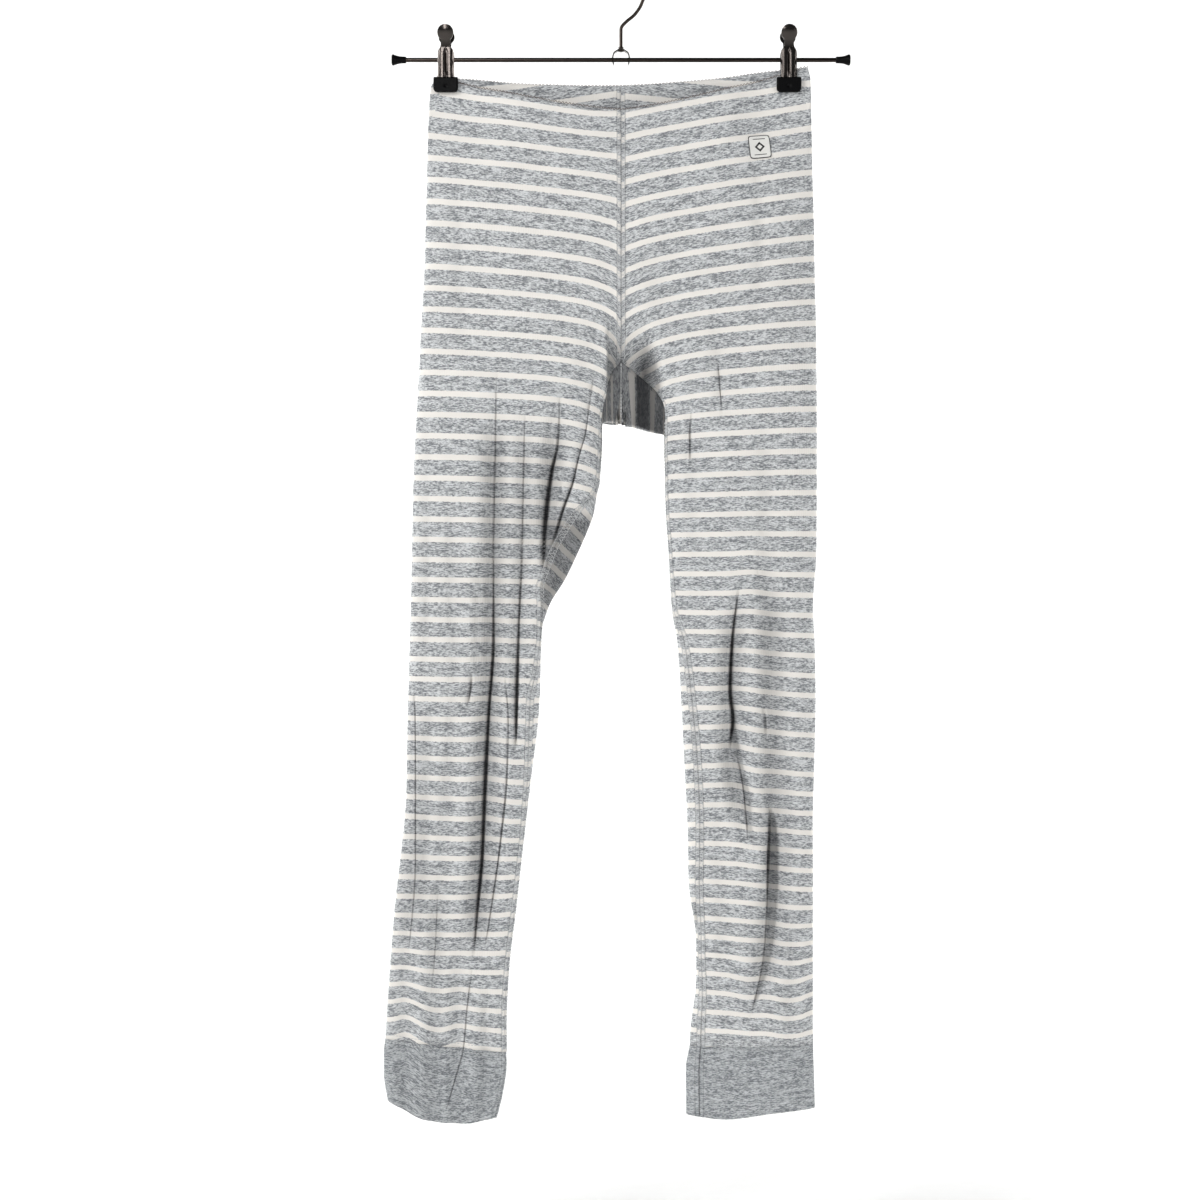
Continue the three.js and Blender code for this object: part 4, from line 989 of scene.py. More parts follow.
def overlock_thread(settings):
    """Fluffy dark taupe yarn of an overlocked edge."""
    material, tree = new_material("textured_polyester_yarn")
    place = add_node(tree, "ShaderNodeTexCoord").outputs["Object"]
    fluff = add_node(tree, "ShaderNodeTexNoise", {"Vector": place, "Scale": 1500.0, "Detail": 2.0}).outputs[0]
    colour = add_node(tree, "ShaderNodeMix", {0: fluff, 6: settings.overlock, 7: linear("#85776F")},
                      data_type="RGBA").outputs[2]
    finish_material(tree, {"Base Color": colour, "Roughness": 0.85, "Sheen Weight": 0.1})
    return material


def woven_label(settings):
    """Damask label, woven from glossy white polyester with a dark weft floated up for its marks:
    a plain small lozenge and two lines."""
    material, tree = new_material("damask_label_weave")
    place = add_node(tree, "ShaderNodeUVMap", uv_map="Cloth").outputs["UV"]
    parts = add_node(tree, "ShaderNodeSeparateXYZ", {0: place})
    u = add_node(tree, "ShaderNodeMath", {0: parts.outputs["X"], 1: 1000}, operation="MULTIPLY").outputs[0]
    v = add_node(tree, "ShaderNodeMath", {0: parts.outputs["Y"], 1: 1000}, operation="MULTIPLY").outputs[0]
    from_u = add_node(tree, "ShaderNodeMath", {0: u}, operation="ABSOLUTE").outputs[0]
    from_v = add_node(tree, "ShaderNodeMath", {0: v}, operation="ABSOLUTE").outputs[0]
    sum_of = add_node(tree, "ShaderNodeMath", {0: from_u, 1: from_v}, operation="ADD").outputs[0]
    outside = add_node(tree, "ShaderNodeMath", {0: sum_of, 1: 4.6}, operation="LESS_THAN").outputs[0]
    inside = add_node(tree, "ShaderNodeMath", {0: sum_of, 1: 2.4}, operation="GREATER_THAN").outputs[0]
    lozenge = add_node(tree, "ShaderNodeMath", {0: outside, 1: inside}, operation="MULTIPLY").outputs[0]
    lines = add_node(tree, "ShaderNodeMath", {0: from_v, 1: 7.2, 2: 0.35}, operation="COMPARE").outputs[0]
    short = add_node(tree, "ShaderNodeMath", {0: from_u, 1: 5.5}, operation="LESS_THAN").outputs[0]
    bars = add_node(tree, "ShaderNodeMath", {0: lines, 1: short}, operation="MULTIPLY").outputs[0]
    drawn = add_node(tree, "ShaderNodeMath", {0: lozenge, 1: bars}, operation="MAXIMUM").outputs[0]
    # A dark woven line runs round inside the edge, with rounded corners
    flat_u = add_node(tree, "ShaderNodeMath", {0: from_u, 1: 10.0}, operation="DIVIDE").outputs[0]
    flat_v = add_node(tree, "ShaderNodeMath", {0: from_v, 1: 10.75}, operation="DIVIDE").outputs[0]
    power_u = add_node(tree, "ShaderNodeMath", {0: flat_u, 1: 9.0}, operation="POWER").outputs[0]
    power_v = add_node(tree, "ShaderNodeMath", {0: flat_v, 1: 9.0}, operation="POWER").outputs[0]
    outward = add_node(tree, "ShaderNodeMath", {0: power_u, 1: power_v}, operation="ADD").outputs[0]
    border = add_node(tree, "ShaderNodeMath", {0: outward, 1: 0.45}, operation="GREATER_THAN").outputs[0]
    marks = add_node(tree, "ShaderNodeMath", {0: drawn, 1: border}, operation="MAXIMUM").outputs[0]
    # Picks 0.25 mm apart would be too fine to show, so they are drawn at 0.6 mm
    pick = add_node(tree, "ShaderNodeMath", {0: v, 1: 2 * math.pi / 0.6}, operation="MULTIPLY").outputs[0]
    weave = add_node(tree, "ShaderNodeMath", {0: pick}, operation="SINE").outputs[0]
    colour = add_node(tree, "ShaderNodeMix", {0: marks, 6: settings.ground, 7: settings.mark},
                      data_type="RGBA").outputs[2]
    bump = add_node(tree, "ShaderNodeBump", {"Strength": 0.25, "Distance": 0.1 * MM, "Height": weave}).outputs[0]
    finish_material(tree, {"Base Color": colour, "Roughness": 0.55, "Normal": bump, "Sheen Weight": 0.15})
    return material


def polished_metal(name, colour, roughness, grain):
    """Steel with a bright plated face: mirror clear, with faint rub marks from use."""
    material, tree = new_material(name)
    place = add_node(tree, "ShaderNodeTexCoord").outputs["Object"]
    rub = add_node(tree, "ShaderNodeTexNoise", {"Vector": place, "Scale": grain, "Detail": 4.0}).outputs[0]
    rough = add_node(tree, "ShaderNodeMapRange", {0: rub, 1: 0.35, 2: 0.7, 3: roughness, 4: roughness + 0.14})
    bump = add_node(tree, "ShaderNodeBump", {"Strength": 0.06, "Distance": 0.1 * MM, "Height": rub}).outputs[0]
    finish_material(tree, {"Base Color": colour, "Metallic": 1.0, "Roughness": rough.outputs[0], "Normal": bump})
    return material


def moulded_rubber(settings):
    """Black PVC moulded over the metal, soft and slightly shiny, with a fine spark-eroded skin."""
    material, tree = new_material("moulded_black_pvc")
    place = add_node(tree, "ShaderNodeTexCoord").outputs["Object"]
    skin = add_node(tree, "ShaderNodeTexNoise", {"Vector": place, "Scale": 1800.0, "Detail": 2.0}).outputs[0]
    rough = add_node(tree, "ShaderNodeMapRange", {0: skin, 1: 0.3, 2: 0.7, 3: 0.28, 4: 0.42}).outputs[0]
    bump = add_node(tree, "ShaderNodeBump", {"Strength": 0.2, "Distance": 0.1 * MM, "Height": skin}).outputs[0]
    finish_material(tree, {"Base Color": settings.rubber, "Roughness": rough, "IOR": 1.5,
                           "Specular IOR Level": 0.08, "Normal": bump})
    return material


def studio_paper(settings):
    """Matt seamless background paper, evenly white."""
    material, tree = new_material("seamless_paper")
    place = add_node(tree, "ShaderNodeTexCoord").outputs["Object"]
    fibre = add_node(tree, "ShaderNodeTexNoise", {"Vector": place, "Scale": 60.0, "Detail": 3.0}).outputs[0]
    colour = add_node(tree, "ShaderNodeMix", {0: fibre, 6: settings.paper, 7: linear("#FBFBFA")},
                      data_type="RGBA").outputs[2]
    finish_material(tree, {"Base Color": colour, "Roughness": 0.95, "Specular IOR Level": 0.1})
    return material


# Shared ways of making round and bent pieces

def sweep(path, section, level, scale=None):
    """Points and faces of a section carried along a path. The section's first axis lies along
    the level direction, and its ends are closed."""
    path = np.asarray(path, float)
    forward = unit(np.gradient(path, axis=0))
    first = unit(np.asarray(level, float) - forward * (forward @ np.asarray(level, float))[:, None])
    second = np.cross(forward, first)
    size = np.ones(len(path)) if scale is None else np.asarray(scale, float)
    ring = section[None, :, :1] * first[:, None] + section[None, :, 1:] * second[:, None]
    points = path[:, None] + ring * size[:, None, None]
    rows, columns = points.shape[:2]
    index = np.arange(rows * columns).reshape(rows, columns)
    around = np.roll(index, -1, axis=1)
    faces = np.stack([index[:-1], index[1:], around[1:], around[:-1]], axis=-1).reshape(-1, 4).tolist()
    faces += [index[0].tolist(), index[-1][::-1].tolist()]
    return points.reshape(-1, 3), faces


def circle(radius, sides):
    angle = 2 * np.pi * np.arange(sides) / sides
    return radius * np.stack([np.cos(angle), np.sin(angle)], axis=-1)


def lathe(profile, sides, axis):
    """Turns a profile of distances along an axis and radii round that axis."""
    along, radius = np.array(profile, float).T
    path = along[:, None] * np.asarray(axis, float)
    level = (0, 0, 1) if abs(axis[2]) < 0.5 else (1, 0, 0)
    forward = unit(np.asarray(axis, float))
    first = unit(np.asarray(level, float) - forward * (forward @ np.asarray(level, float)))
    second = np.cross(forward, first)
    ring = circle(1, sides)
    turned = ring[:, :1] * first + ring[:, 1:] * second
    points = path[:, None] + turned[None] * radius[:, None, None]
    index = np.arange(len(along) * sides).reshape(len(along), sides)
    around = np.roll(index, -1, axis=1)
    faces = np.stack([index[:-1], index[1:], around[1:], around[:-1]], axis=-1).reshape(-1, 4).tolist()
    faces += [index[0].tolist(), index[-1][::-1].tolist()]
    return points.reshape(-1, 3), faces


def join(parts):
    """Joins several lots of points and faces into one."""
    points, faces, start = [], [], 0
    for some_points, some_faces in parts:
        points.append(np.asarray(some_points, float))
        faces += [[corner + start for corner in face] for face in some_faces]
        start += len(some_points)
    return np.concatenate(points), faces


def curve_through(points, steps):
    """A smooth line through points, with a few steps between each two."""
    points = np.asarray(points, float)
    ends = np.concatenate([[2 * points[0] - points[1]], points, [2 * points[-1] - points[-2]]])
    t = np.arange(steps)[:, None] / steps
    line = []
    for a, b, c, d in zip(ends, ends[1:], ends[2:], ends[3:]):
        line.append(0.5 * (2 * b + (c - a) * t + (2 * a - 5 * b + 4 * c - d) * t ** 2
                           + (3 * b - a - 3 * c + d) * t ** 3))
    return np.concatenate([*line, points[-1:]])


# Seams

def seam_line(cloth, edge, away):
    """Points and directions along one edge of a leg piece, a distance away from that edge."""
    length = along_rows(cloth.grid)
    wanted = away if edge == "front" else length[:, -1] - away
    wanted = np.broadcast_to(wanted, length.shape[:1])
    pick = lambda values: np.stack([
        [np.interp(w, row, column) for w, row, column in zip(wanted, length, values[..., k])]
        for k in range(3)], axis=-1)
    return pick(cloth.grid), unit(pick(cloth.normals))


def even_steps(points, normals, step):
    """Spaces a line evenly, a whole number of steps long."""
    length = np.concatenate([[0], np.cumsum(np.linalg.norm(np.diff(points, axis=0), axis=1))])
    wanted = np.linspace(0, length[-1], max(2, round(length[-1] / step) + 1))
    pick = lambda values: np.stack([np.interp(wanted, length, values[:, k]) for k in range(3)], axis=-1)
    return pick(points), unit(pick(normals))


def stitches(starts, ends, normals, radius):
    """A short plump thread from each start to each end, dipping into the cloth at both."""
    forward = unit(ends - starts)
    side = unit(np.cross(forward, normals))
    shares = np.array([0, 0.2, 0.5, 0.8, 1])
    rises = np.array([-0.9, 0.55, 0.9, 0.55, -0.9]) * radius
    widths = np.array([0.5, 1, 1.05, 1, 0.5]) * radius
    ring = circle(1, 6)
    rows = []
    for share, rise, width in zip(shares, rises, widths):
        centre = mix(starts, ends, share) + normals * rise
        rows.append(centre[:, None] + width * (side[:, None] * ring[None, :, :1] + normals[:, None] * ring[None, :, 1:]))
    points = np.stack(rows, axis=1)
    index = np.arange(len(shares) * 6).reshape(len(shares), 6)
    around = np.roll(index, -1, axis=1)
    quads = np.stack([index[:-1], index[1:], around[1:], around[:-1]], axis=-1).reshape(-1, 4).tolist()
    quads += [index[0].tolist(), index[-1][::-1].tolist()]
    faces = []
    for number in range(len(starts)):
        faces += [[corner + number * index.size for corner in quad] for quad in quads]
    return points.reshape(-1, 3), faces


def stitch_row(points, normals, settings):
    """One straight row of stitches along a line."""
    points, normals = even_steps(points, normals, settings.stitch_length / MM)
    ends = mix(points[:-1], points[1:], 0.86)
    return stitches(points[:-1], ends, unit(normals[:-1] + normals[1:]), settings.thread_radius / MM)


def cover_stitches(left, right, settings):
    """Threads that cross a cover seam from one row to the other and back."""
    step = settings.cross_step / MM
    count = max(3, round(np.linalg.norm(np.diff(left[0], axis=0), axis=1).sum() / step))
    lines = []
    for points, normals in (left, right):
        length = np.concatenate([[0], np.cumsum(np.linalg.norm(np.diff(points, axis=0), axis=1))])
        wanted = np.linspace(0, length[-1], count)
        pick = lambda values: np.stack([np.interp(wanted, length, values[:, k]) for k in range(3)], axis=-1)
        lines.append((pick(points), unit(pick(normals))))
    (a, na), (b, nb) = lines
    odd = np.arange(count - 1) % 2 == 0
    starts = np.where(odd[:, None], a[:-1], b[:-1])
    ends = np.where(odd[:, None], b[1:], a[1:])
    return stitches(starts, ends, unit(na[:-1] + nb[1:]), settings.thread_radius / MM * 0.7)


# Settings

def length_property(name, description, default):
    return FloatProperty(name=name, description=description, default=default, min=0.0, unit="LENGTH", precision=5)


def colour_property(name, description, code):
    return FloatVectorProperty(name=name, description=description, default=linear(code), size=4, min=0.0,
                               max=1.0, subtype="COLOR")


class ClothSettings(PropertyGroup):
    thickness: length_property("Cloth thickness", "Thickness of the jersey wall", 0.0011)
    crease_strength: FloatProperty(name="Creasing", description="How strongly creases and ripples show",
                                   default=1.0, min=0.0, max=2.0, subtype="FACTOR")
    # Strength of the shade painted into the colour in creases, the crotch hollow and the left flap
    crease_shade: FloatProperty(name="Crease shade", description="How dark the cloth is deep in a crease",
                                default=0.92, min=0.0, max=1.0, subtype="FACTOR")
    stripe_share: FloatProperty(name="Stripe share", description="Part of each repeat that is cream",
                                default=0.27, min=0.0, max=1.0, subtype="FACTOR")
    dark_fibre: colour_property("Dark fibre", "Darkest flecks of the melange", "#7E8185")
    pale_fibre: colour_property("Pale fibre", "Palest flecks of the melange", "#E1E3E4")
    cuff_dark: colour_property("Cuff dark fibre", "Darkest flecks of the cuffs", "#74787C")
    cuff_pale: colour_property("Cuff pale fibre", "Palest flecks of the cuffs", "#CACDCF")
    cream: colour_property("Cream", "Colour of the stripes", "#FBF7F1")
    cream_shade: colour_property("Cream shade", "Duller places in the stripes", "#F0ECE6")
    thread: colour_property("Thread", "Colour of the seams' thread", "#A9ACAF")
    stitch_length: length_property("Stitch length", "Length of one stitch along a seam", 0.003)
    thread_radius: length_property("Thread radius", "Radius of the sewing thread", 0.00028)
    cross_step: length_property("Crossing step", "Distance between the threads that cross a cover seam", 0.0016)
    overlock: colour_property("Overlock thread", "Colour of the thread over the waist's edge", "#5C4F49")
    overlock_height: length_property("Overlock height", "How far its loops stand above the edge", 0.0017)
    seam_half_width: length_property("Seam half width", "From the seam to each row of stitches", 0.0031)


class LabelSettings(PropertyGroup):
    width: length_property("Label width", "Width of the woven label", 0.020)
    height: length_property("Label height", "Height of the woven label", 0.0215)
    across: length_property("Label place across", "Middle of the label from the centre front", 0.1242)
    tilt: FloatProperty(name="Label tilt", description="How far the label leans", default=0.11, subtype="ANGLE")
    ground: colour_property("Label ground", "Colour of the label", "#F4F3EE")
    mark: colour_property("Label marks", "Colour of the label's marks", "#1B1C1E")


class HangerSettings(PropertyGroup):
    chrome: colour_property("Chrome", "Colour of the clips and bracket", "#544F4C")
    dark_chrome: colour_property("Dark chrome", "Colour of the rod and hook", "#3A3430")
    rubber: colour_property("Rubber", "Colour of the tips and caps", "#09090A")
    sides: IntProperty(name="Round sides", description="Faces round each rod and wire", default=32, min=8, max=64)


class StageSettings(PropertyGroup):
    distance: length_property("Camera distance", "From the camera to the garment", 2.1)
    view_width: length_property("View width", "Width seen at the garment", 1.08)
    centre_x: FloatProperty(name="Aim across", description="Where the camera aims, across", default=-0.0189,
                            unit="LENGTH")
    centre_z: FloatProperty(name="Aim height", description="Where the camera aims, up", default=-0.576,
                            unit="LENGTH")
    floor_z: FloatProperty(name="Floor height", description="Height of the floor", default=-1.16, unit="LENGTH")
    paper: colour_property("Paper", "Colour of the background paper", "#F6F6F5")
    key_power: FloatProperty(name="Key light", description="Power of the main soft light", default=42.0,
                             unit="POWER")
    fill_power: FloatProperty(name="Fill light", description="Power of the second soft light", default=20.0,
                              unit="POWER")
    strip_power: FloatProperty(name="Strip light", description="Power of the tall narrow light", default=11.0,
                               unit="POWER")
    paper_power: FloatProperty(name="Paper light", description="Power of each light on the paper",
                               default=34.0, unit="POWER")
    world_strength: FloatProperty(name="Ambient", description="Strength of the even light", default=0.12)


# Pieces

cloths = {}


def leg_sides():
    """Heights of the rows of a leg piece at its side fold, closer together at the crotch."""
    return np.unique(np.concatenate([
        np.linspace(WAIST_SIDE_Z, -300, 48),
        np.linspace(-300, CROTCH_SIDE_Z, 14),
        np.linspace(CROTCH_SIDE_Z, -430, 32),
        np.linspace(-430, CUFF_SEAM_Z, 138),
    ]))[::-1]


def aim(light, target):
    light.rotation_euler = (Vector(target) - light.location).to_track_quat("-Z", "Y").to_euler()


class LEGGINGS_OT_stage(Operator):
    """Make the floor, background, lights and camera"""

    bl_idname = "leggings.stage"
    bl_label = "Studio"

    def execute(self, context):
        settings = context.scene.leggings_stage
        scene = context.scene
        scene.view_settings.view_transform = "Standard"
        paper = studio_paper(settings)
        self.make_sweep(settings, paper)
        centre = (settings.centre_x, 0, settings.centre_z)
        camera = bpy.data.objects.new("camera", bpy.data.cameras.new("camera"))
        camera.data.sensor_width = 36
        camera.data.lens = camera.data.sensor_width * settings.distance / settings.view_width
        camera.data.clip_start = 0.05
        camera.data.clip_end = 60
        camera.location = (settings.centre_x, -settings.distance, settings.centre_z)
        camera.rotation_euler = (math.pi / 2, 0, 0)
        scene.collection.objects.link(camera)
        scene.camera = camera
        self.add_light("key_light", (-1.9, -1.9, 0.9), centre, 1.3, settings.key_power)
        self.add_light("fill_light", (1.9, -2.0, -0.6), centre, 1.6, settings.fill_power)
        strip = self.add_light("strip_light", (-0.35, -2.4, 0.3), (-0.02, 0, -0.1), 0.2, settings.strip_power)
        strip.data.shape = "RECTANGLE"
        strip.data.size_y = 1.8
        for side in (-1, 1):
            self.add_light(f"paper_light_{'left' if side < 0 else 'right'}", (1.6 * side, 0.6, 0.2),
                           (0.2 * side, 2.4, -0.7), 1.2, settings.paper_power)
        world = bpy.data.worlds.new("studio")
        world.use_nodes = True
        world.node_tree.nodes["Background"].inputs["Color"].default_value = linear("#F4F6FA")
        world.node_tree.nodes["Background"].inputs["Strength"].default_value = settings.world_strength
        scene.world = world
        return {"FINISHED"}

    def add_light(self, name, place, target, size, power):
        light = bpy.data.objects.new(name, bpy.data.lights.new(name, "AREA"))
        light.data.size = size
        light.data.energy = power
        light.location = place
        aim(light, target)
        bpy.context.scene.collection.objects.link(light)
        return light

    def make_sweep(self, settings, material):
        """Floor and background in one sheet with a wide bend."""
        bend, back, front, half = 0.9, 2.4, -4.0, 4.5
        angles = np.linspace(0, math.pi / 2, 24)
        line = [(front, 0), *[(back - bend + bend * math.sin(a), bend - bend * math.cos(a)) for a in angles],
                (back, 4.5)]
        points = [(x, y, settings.floor_z + up) for y, up in line for x in (-half, half)]
        faces = [(2 * i, 2 * i + 1, 2 * i + 3, 2 * i + 2) for i in range(len(line) - 1)]
        mesh = bpy.data.meshes.new("paper_sweep")
        mesh.from_pydata(points, [], faces)
        mesh.shade_smooth()
        mesh.materials.append(material)
        sheet = bpy.data.objects.new("paper_sweep", mesh)
        bpy.context.scene.collection.objects.link(sheet)


class LEGGINGS_OT_legs(Operator):
    """Make the two striped leg pieces, each cut in one with its half of the seat"""

    bl_idname = "leggings.legs"
    bl_label = "Legs"

    def execute(self, context):
        settings = context.scene.leggings_cloth
        material = jersey("striped_cotton_jersey", settings, striped=True)
        for leg in SIGN:
            cloth = make_cloth(leg, leg_sides(), OUTLINE[leg], settings.thickness / MM, settings.crease_strength)
            cloths[leg] = cloth
            name = f"leg_{leg}_jersey"
            piece = cloth_piece(name, cloth, material, [f"leg_{leg}"])
        return {"FINISHED"}


class LEGGINGS_OT_cuffs(Operator):
    """Make the two plain cuffs"""

    bl_idname = "leggings.cuffs"
    bl_label = "Cuffs"

    def execute(self, context):
        settings = context.scene.leggings_cloth
        material = jersey("plain_cotton_jersey", settings, striped=False)
        for leg in SIGN:
            sides = np.linspace(CUFF_SEAM_Z, CUFF_OUTLINE[leg]["z"][-1], 26)
            place = lambda grid, leg=leg: self.hang(grid, leg)
            cloth = make_cloth(leg, sides, CUFF_OUTLINE[leg], settings.thickness / MM * 1.2,
                               settings.crease_strength, place)
            cloths[f"cuff_{leg}"] = cloth
            piece = cloth_piece(f"cuff_{leg}_jersey", cloth, material, [f"cuff_{leg}"])
        return {"FINISHED"}

    def hang(self, grid, leg):
        """Sets each row of a cuff between the cuff seam and the dipping hem."""
        outline = CUFF_OUTLINE[leg]
        share = np.linspace(0, 1, len(grid))[:, None]
        side = mix(CUFF_SEAM_Z, outline["z"][-1], share)
        outer = value_at(outline, "outer", side)
        inner = value_at(outline, "inner", side)
        reach = (np.abs(grid[..., 0]) - inner) / (outer - inner)
        top = CUFF_SEAM_Z - SEAM_GAP + cuff_fall(leg, grid[..., 0])
        grid = grid.copy()
        grid[..., 2] = mix(top, value_at(HEM[leg], "z", reach, "across"), share)
        return grid


class LEGGINGS_OT_seams(Operator):
    """Sew the centre seams, inseams and cuff seams with rows of thread"""

    bl_idname = "leggings.seams"
    bl_label = "Seams"

    def execute(self, context):
        settings = context.scene.leggings_cloth
        thread = sewing_thread(settings)
        away = settings.seam_half_width / MM
        left, right = cloths["left"], cloths["right"]
        crotch = int(np.argmin(np.abs(left.sides - CROTCH_SIDE_Z)))
        for edge, name in (("front", "centre_front"), ("back", "centre_back")):
            lines = []
            for cloth in (left, right):
                points, normals = seam_line(cloth, edge, away)
                lines.append((points[:crotch + 1], normals[:crotch + 1]))
            parts = [stitch_row(*line, settings) for line in lines]
            parts.append(cover_stitches(*lines, settings))
            self.sew(f"stitches_{name}", parts, thread)
        for cloth in (left, right):
            lines = []
            for edge in ("front", "back"):
                points, normals = seam_line(cloth, edge, away)
                lines.append((points[cloth.sides < -395], normals[cloth.sides < -395]))
            parts = [stitch_row(*line, settings) for line in lines]
            parts.append(cover_stitches(*lines, settings))
            self.sew(f"stitches_inseam_{cloth.leg}", parts, thread)
        overlock = overlock_thread(settings)
        for cloth in (left, right):
            self.sew(f"stitches_waist_{cloth.leg}", [self.overlock(cloth, settings)], overlock)
        for leg in SIGN:
            parts = []
            for name, row in ((leg, -2), (f"cuff_{leg}", 1)):
                cloth = cloths[name]
                parts.append(stitch_row(cloth.grid[row], cloth.normals[row], settings))
            self.sew(f"stitches_cuff_{leg}", parts, thread)
        return {"FINISHED"}

    def overlock(self, cloth, settings):
        """Threads that zigzag over the raw top edge of the waist."""
        middle = mix(cloth.grid[0], cloth.inner[0], 0.5)
        points, normals = even_steps(middle, cloth.normals[0], settings.cross_step / MM)
        height = np.where(points[:, 1] < 0, settings.overlock_height / MM, settings.overlock_height / MM / 2)
        odd = np.arange(len(points)) % 2
        line = points + normals * 0.3
        line[:, 2] += np.where(odd == 1, height, -0.3)
        return stitches(line[:-1], line[1:], normals[:-1], settings.thread_radius / MM)

    def sew(self, name, parts, thread):
        points, faces = join(parts)
        new_piece(name, points, faces, thread)


class LEGGINGS_OT_label(Operator):
    """Make the small woven label on the right front"""

    bl_idname = "leggings.label"
    bl_label = "Label"

    def execute(self, context):
        settings = context.scene.leggings_label
        low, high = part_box("label")
        middle = (low + high) / 2 / MM
        half_width, half_height = settings.width / MM / 2, settings.height / MM / 2
        cells = 25
        shares = np.linspace(-1, 1, cells)
        u, v = np.meshgrid(shares, shares[::-1])
        # Corners are rounded off, and each side bows in a little
        x = u * half_width * (1 - 0.02 * (1 - v * v)) * (1 - 0.085 * (u * v) ** 4)
        z = v * half_height * (1 - 0.02 * (1 - u * u)) * (1 - 0.085 * (u * v) ** 4)
        tilt = settings.tilt
        px = middle.x + x * math.cos(tilt) - z * math.sin(tilt)
        pz = middle.z + x * math.sin(tilt) + z * math.cos(tilt)
        y = self.cloth_y(px, pz)
        rise = 0.5 + 0.25 * (1 - (u * u) ** 3) * (1 - (v * v) ** 3)
        outer = np.stack([px, y - rise - 0.35, pz], axis=-1)
        inner = np.stack([px, y - 0.15, pz], axis=-1)
        points = np.concatenate([outer.reshape(-1, 3), inner.reshape(-1, 3)])
        uv = np.stack([x, z], axis=-1).reshape(-1, 2) * MM
        material = woven_label(settings)
        piece = new_piece("label_weave", points, wall_faces(cells, cells), material, ["label"],
                          uv=np.concatenate([uv, uv]))
        return {"FINISHED"}

    def cloth_y(self, x, z):
        """Height of the right front's cloth under each point."""
        cloth = cloths["right"]
        front = cloth.grid[:, :FRONT_COLUMNS + 1].reshape(-1, 3)
        near = front[(np.abs(front[:, 0] - x.mean()) < 25) & (np.abs(front[:, 2] - z.mean()) < 25)]
        apart = (x[..., None] - near[:, 0]) ** 2 + (z[..., None] - near[:, 2]) ** 2
        weight = np.exp(-apart / 4.0)
        return (weight * near[:, 1]).sum(-1) / weight.sum(-1)


class LEGGINGS_OT_rod(Operator):
    """Make the hanger's rod and its two rubber caps"""

    bl_idname = "leggings.rod"
    bl_label = "Rod"

    def execute(self, context):
        settings = context.scene.leggings_hanger
        dark = polished_metal("black_nickel_plated_steel", settings.dark_chrome, 0.16, 900.0)
        rubber = moulded_rubber(settings)
        half, radius = ROD_HALF_LENGTH, ROD_RADIUS
        ease = 0.5
        profile = [(-half, radius - ease), (-half + ease, radius), (half - ease, radius), (half, radius - ease)]
        points, faces = lathe(profile, settings.sides, (1, 0, 0))
        points[:, 2] += ROD_Z
        new_piece("rod_steel", points, faces, dark, ["hanger_rod"], crisp=35)
        # From the cap's mouth on the rod, out to its rounded end
        outside = [(0, 2.6), (0.4, 3), (3, 3.05), (6, 3.3), (8.4, 3.9), (10, 4.5), (11.2, 4.95), (11.9, 5),
                   (12.5, 4.75), (12.9, 4.1), (13, 3)]
        length = outside[-1][0]
        for side, sign in SIGN.items():
            mouth = HANGER_HALF_LENGTH - length
            profile = [(mouth + along, size) for along, size in outside]
            points, faces = lathe(profile, settings.sides, (1, 0, 0))
            points[:, 0] *= sign
            points[:, 2] += ROD_Z
            new_piece(f"cap_{side}_rubber", points, faces, rubber, [f"rod_cap_{side}"], crisp=50)
        return {"FINISHED"}


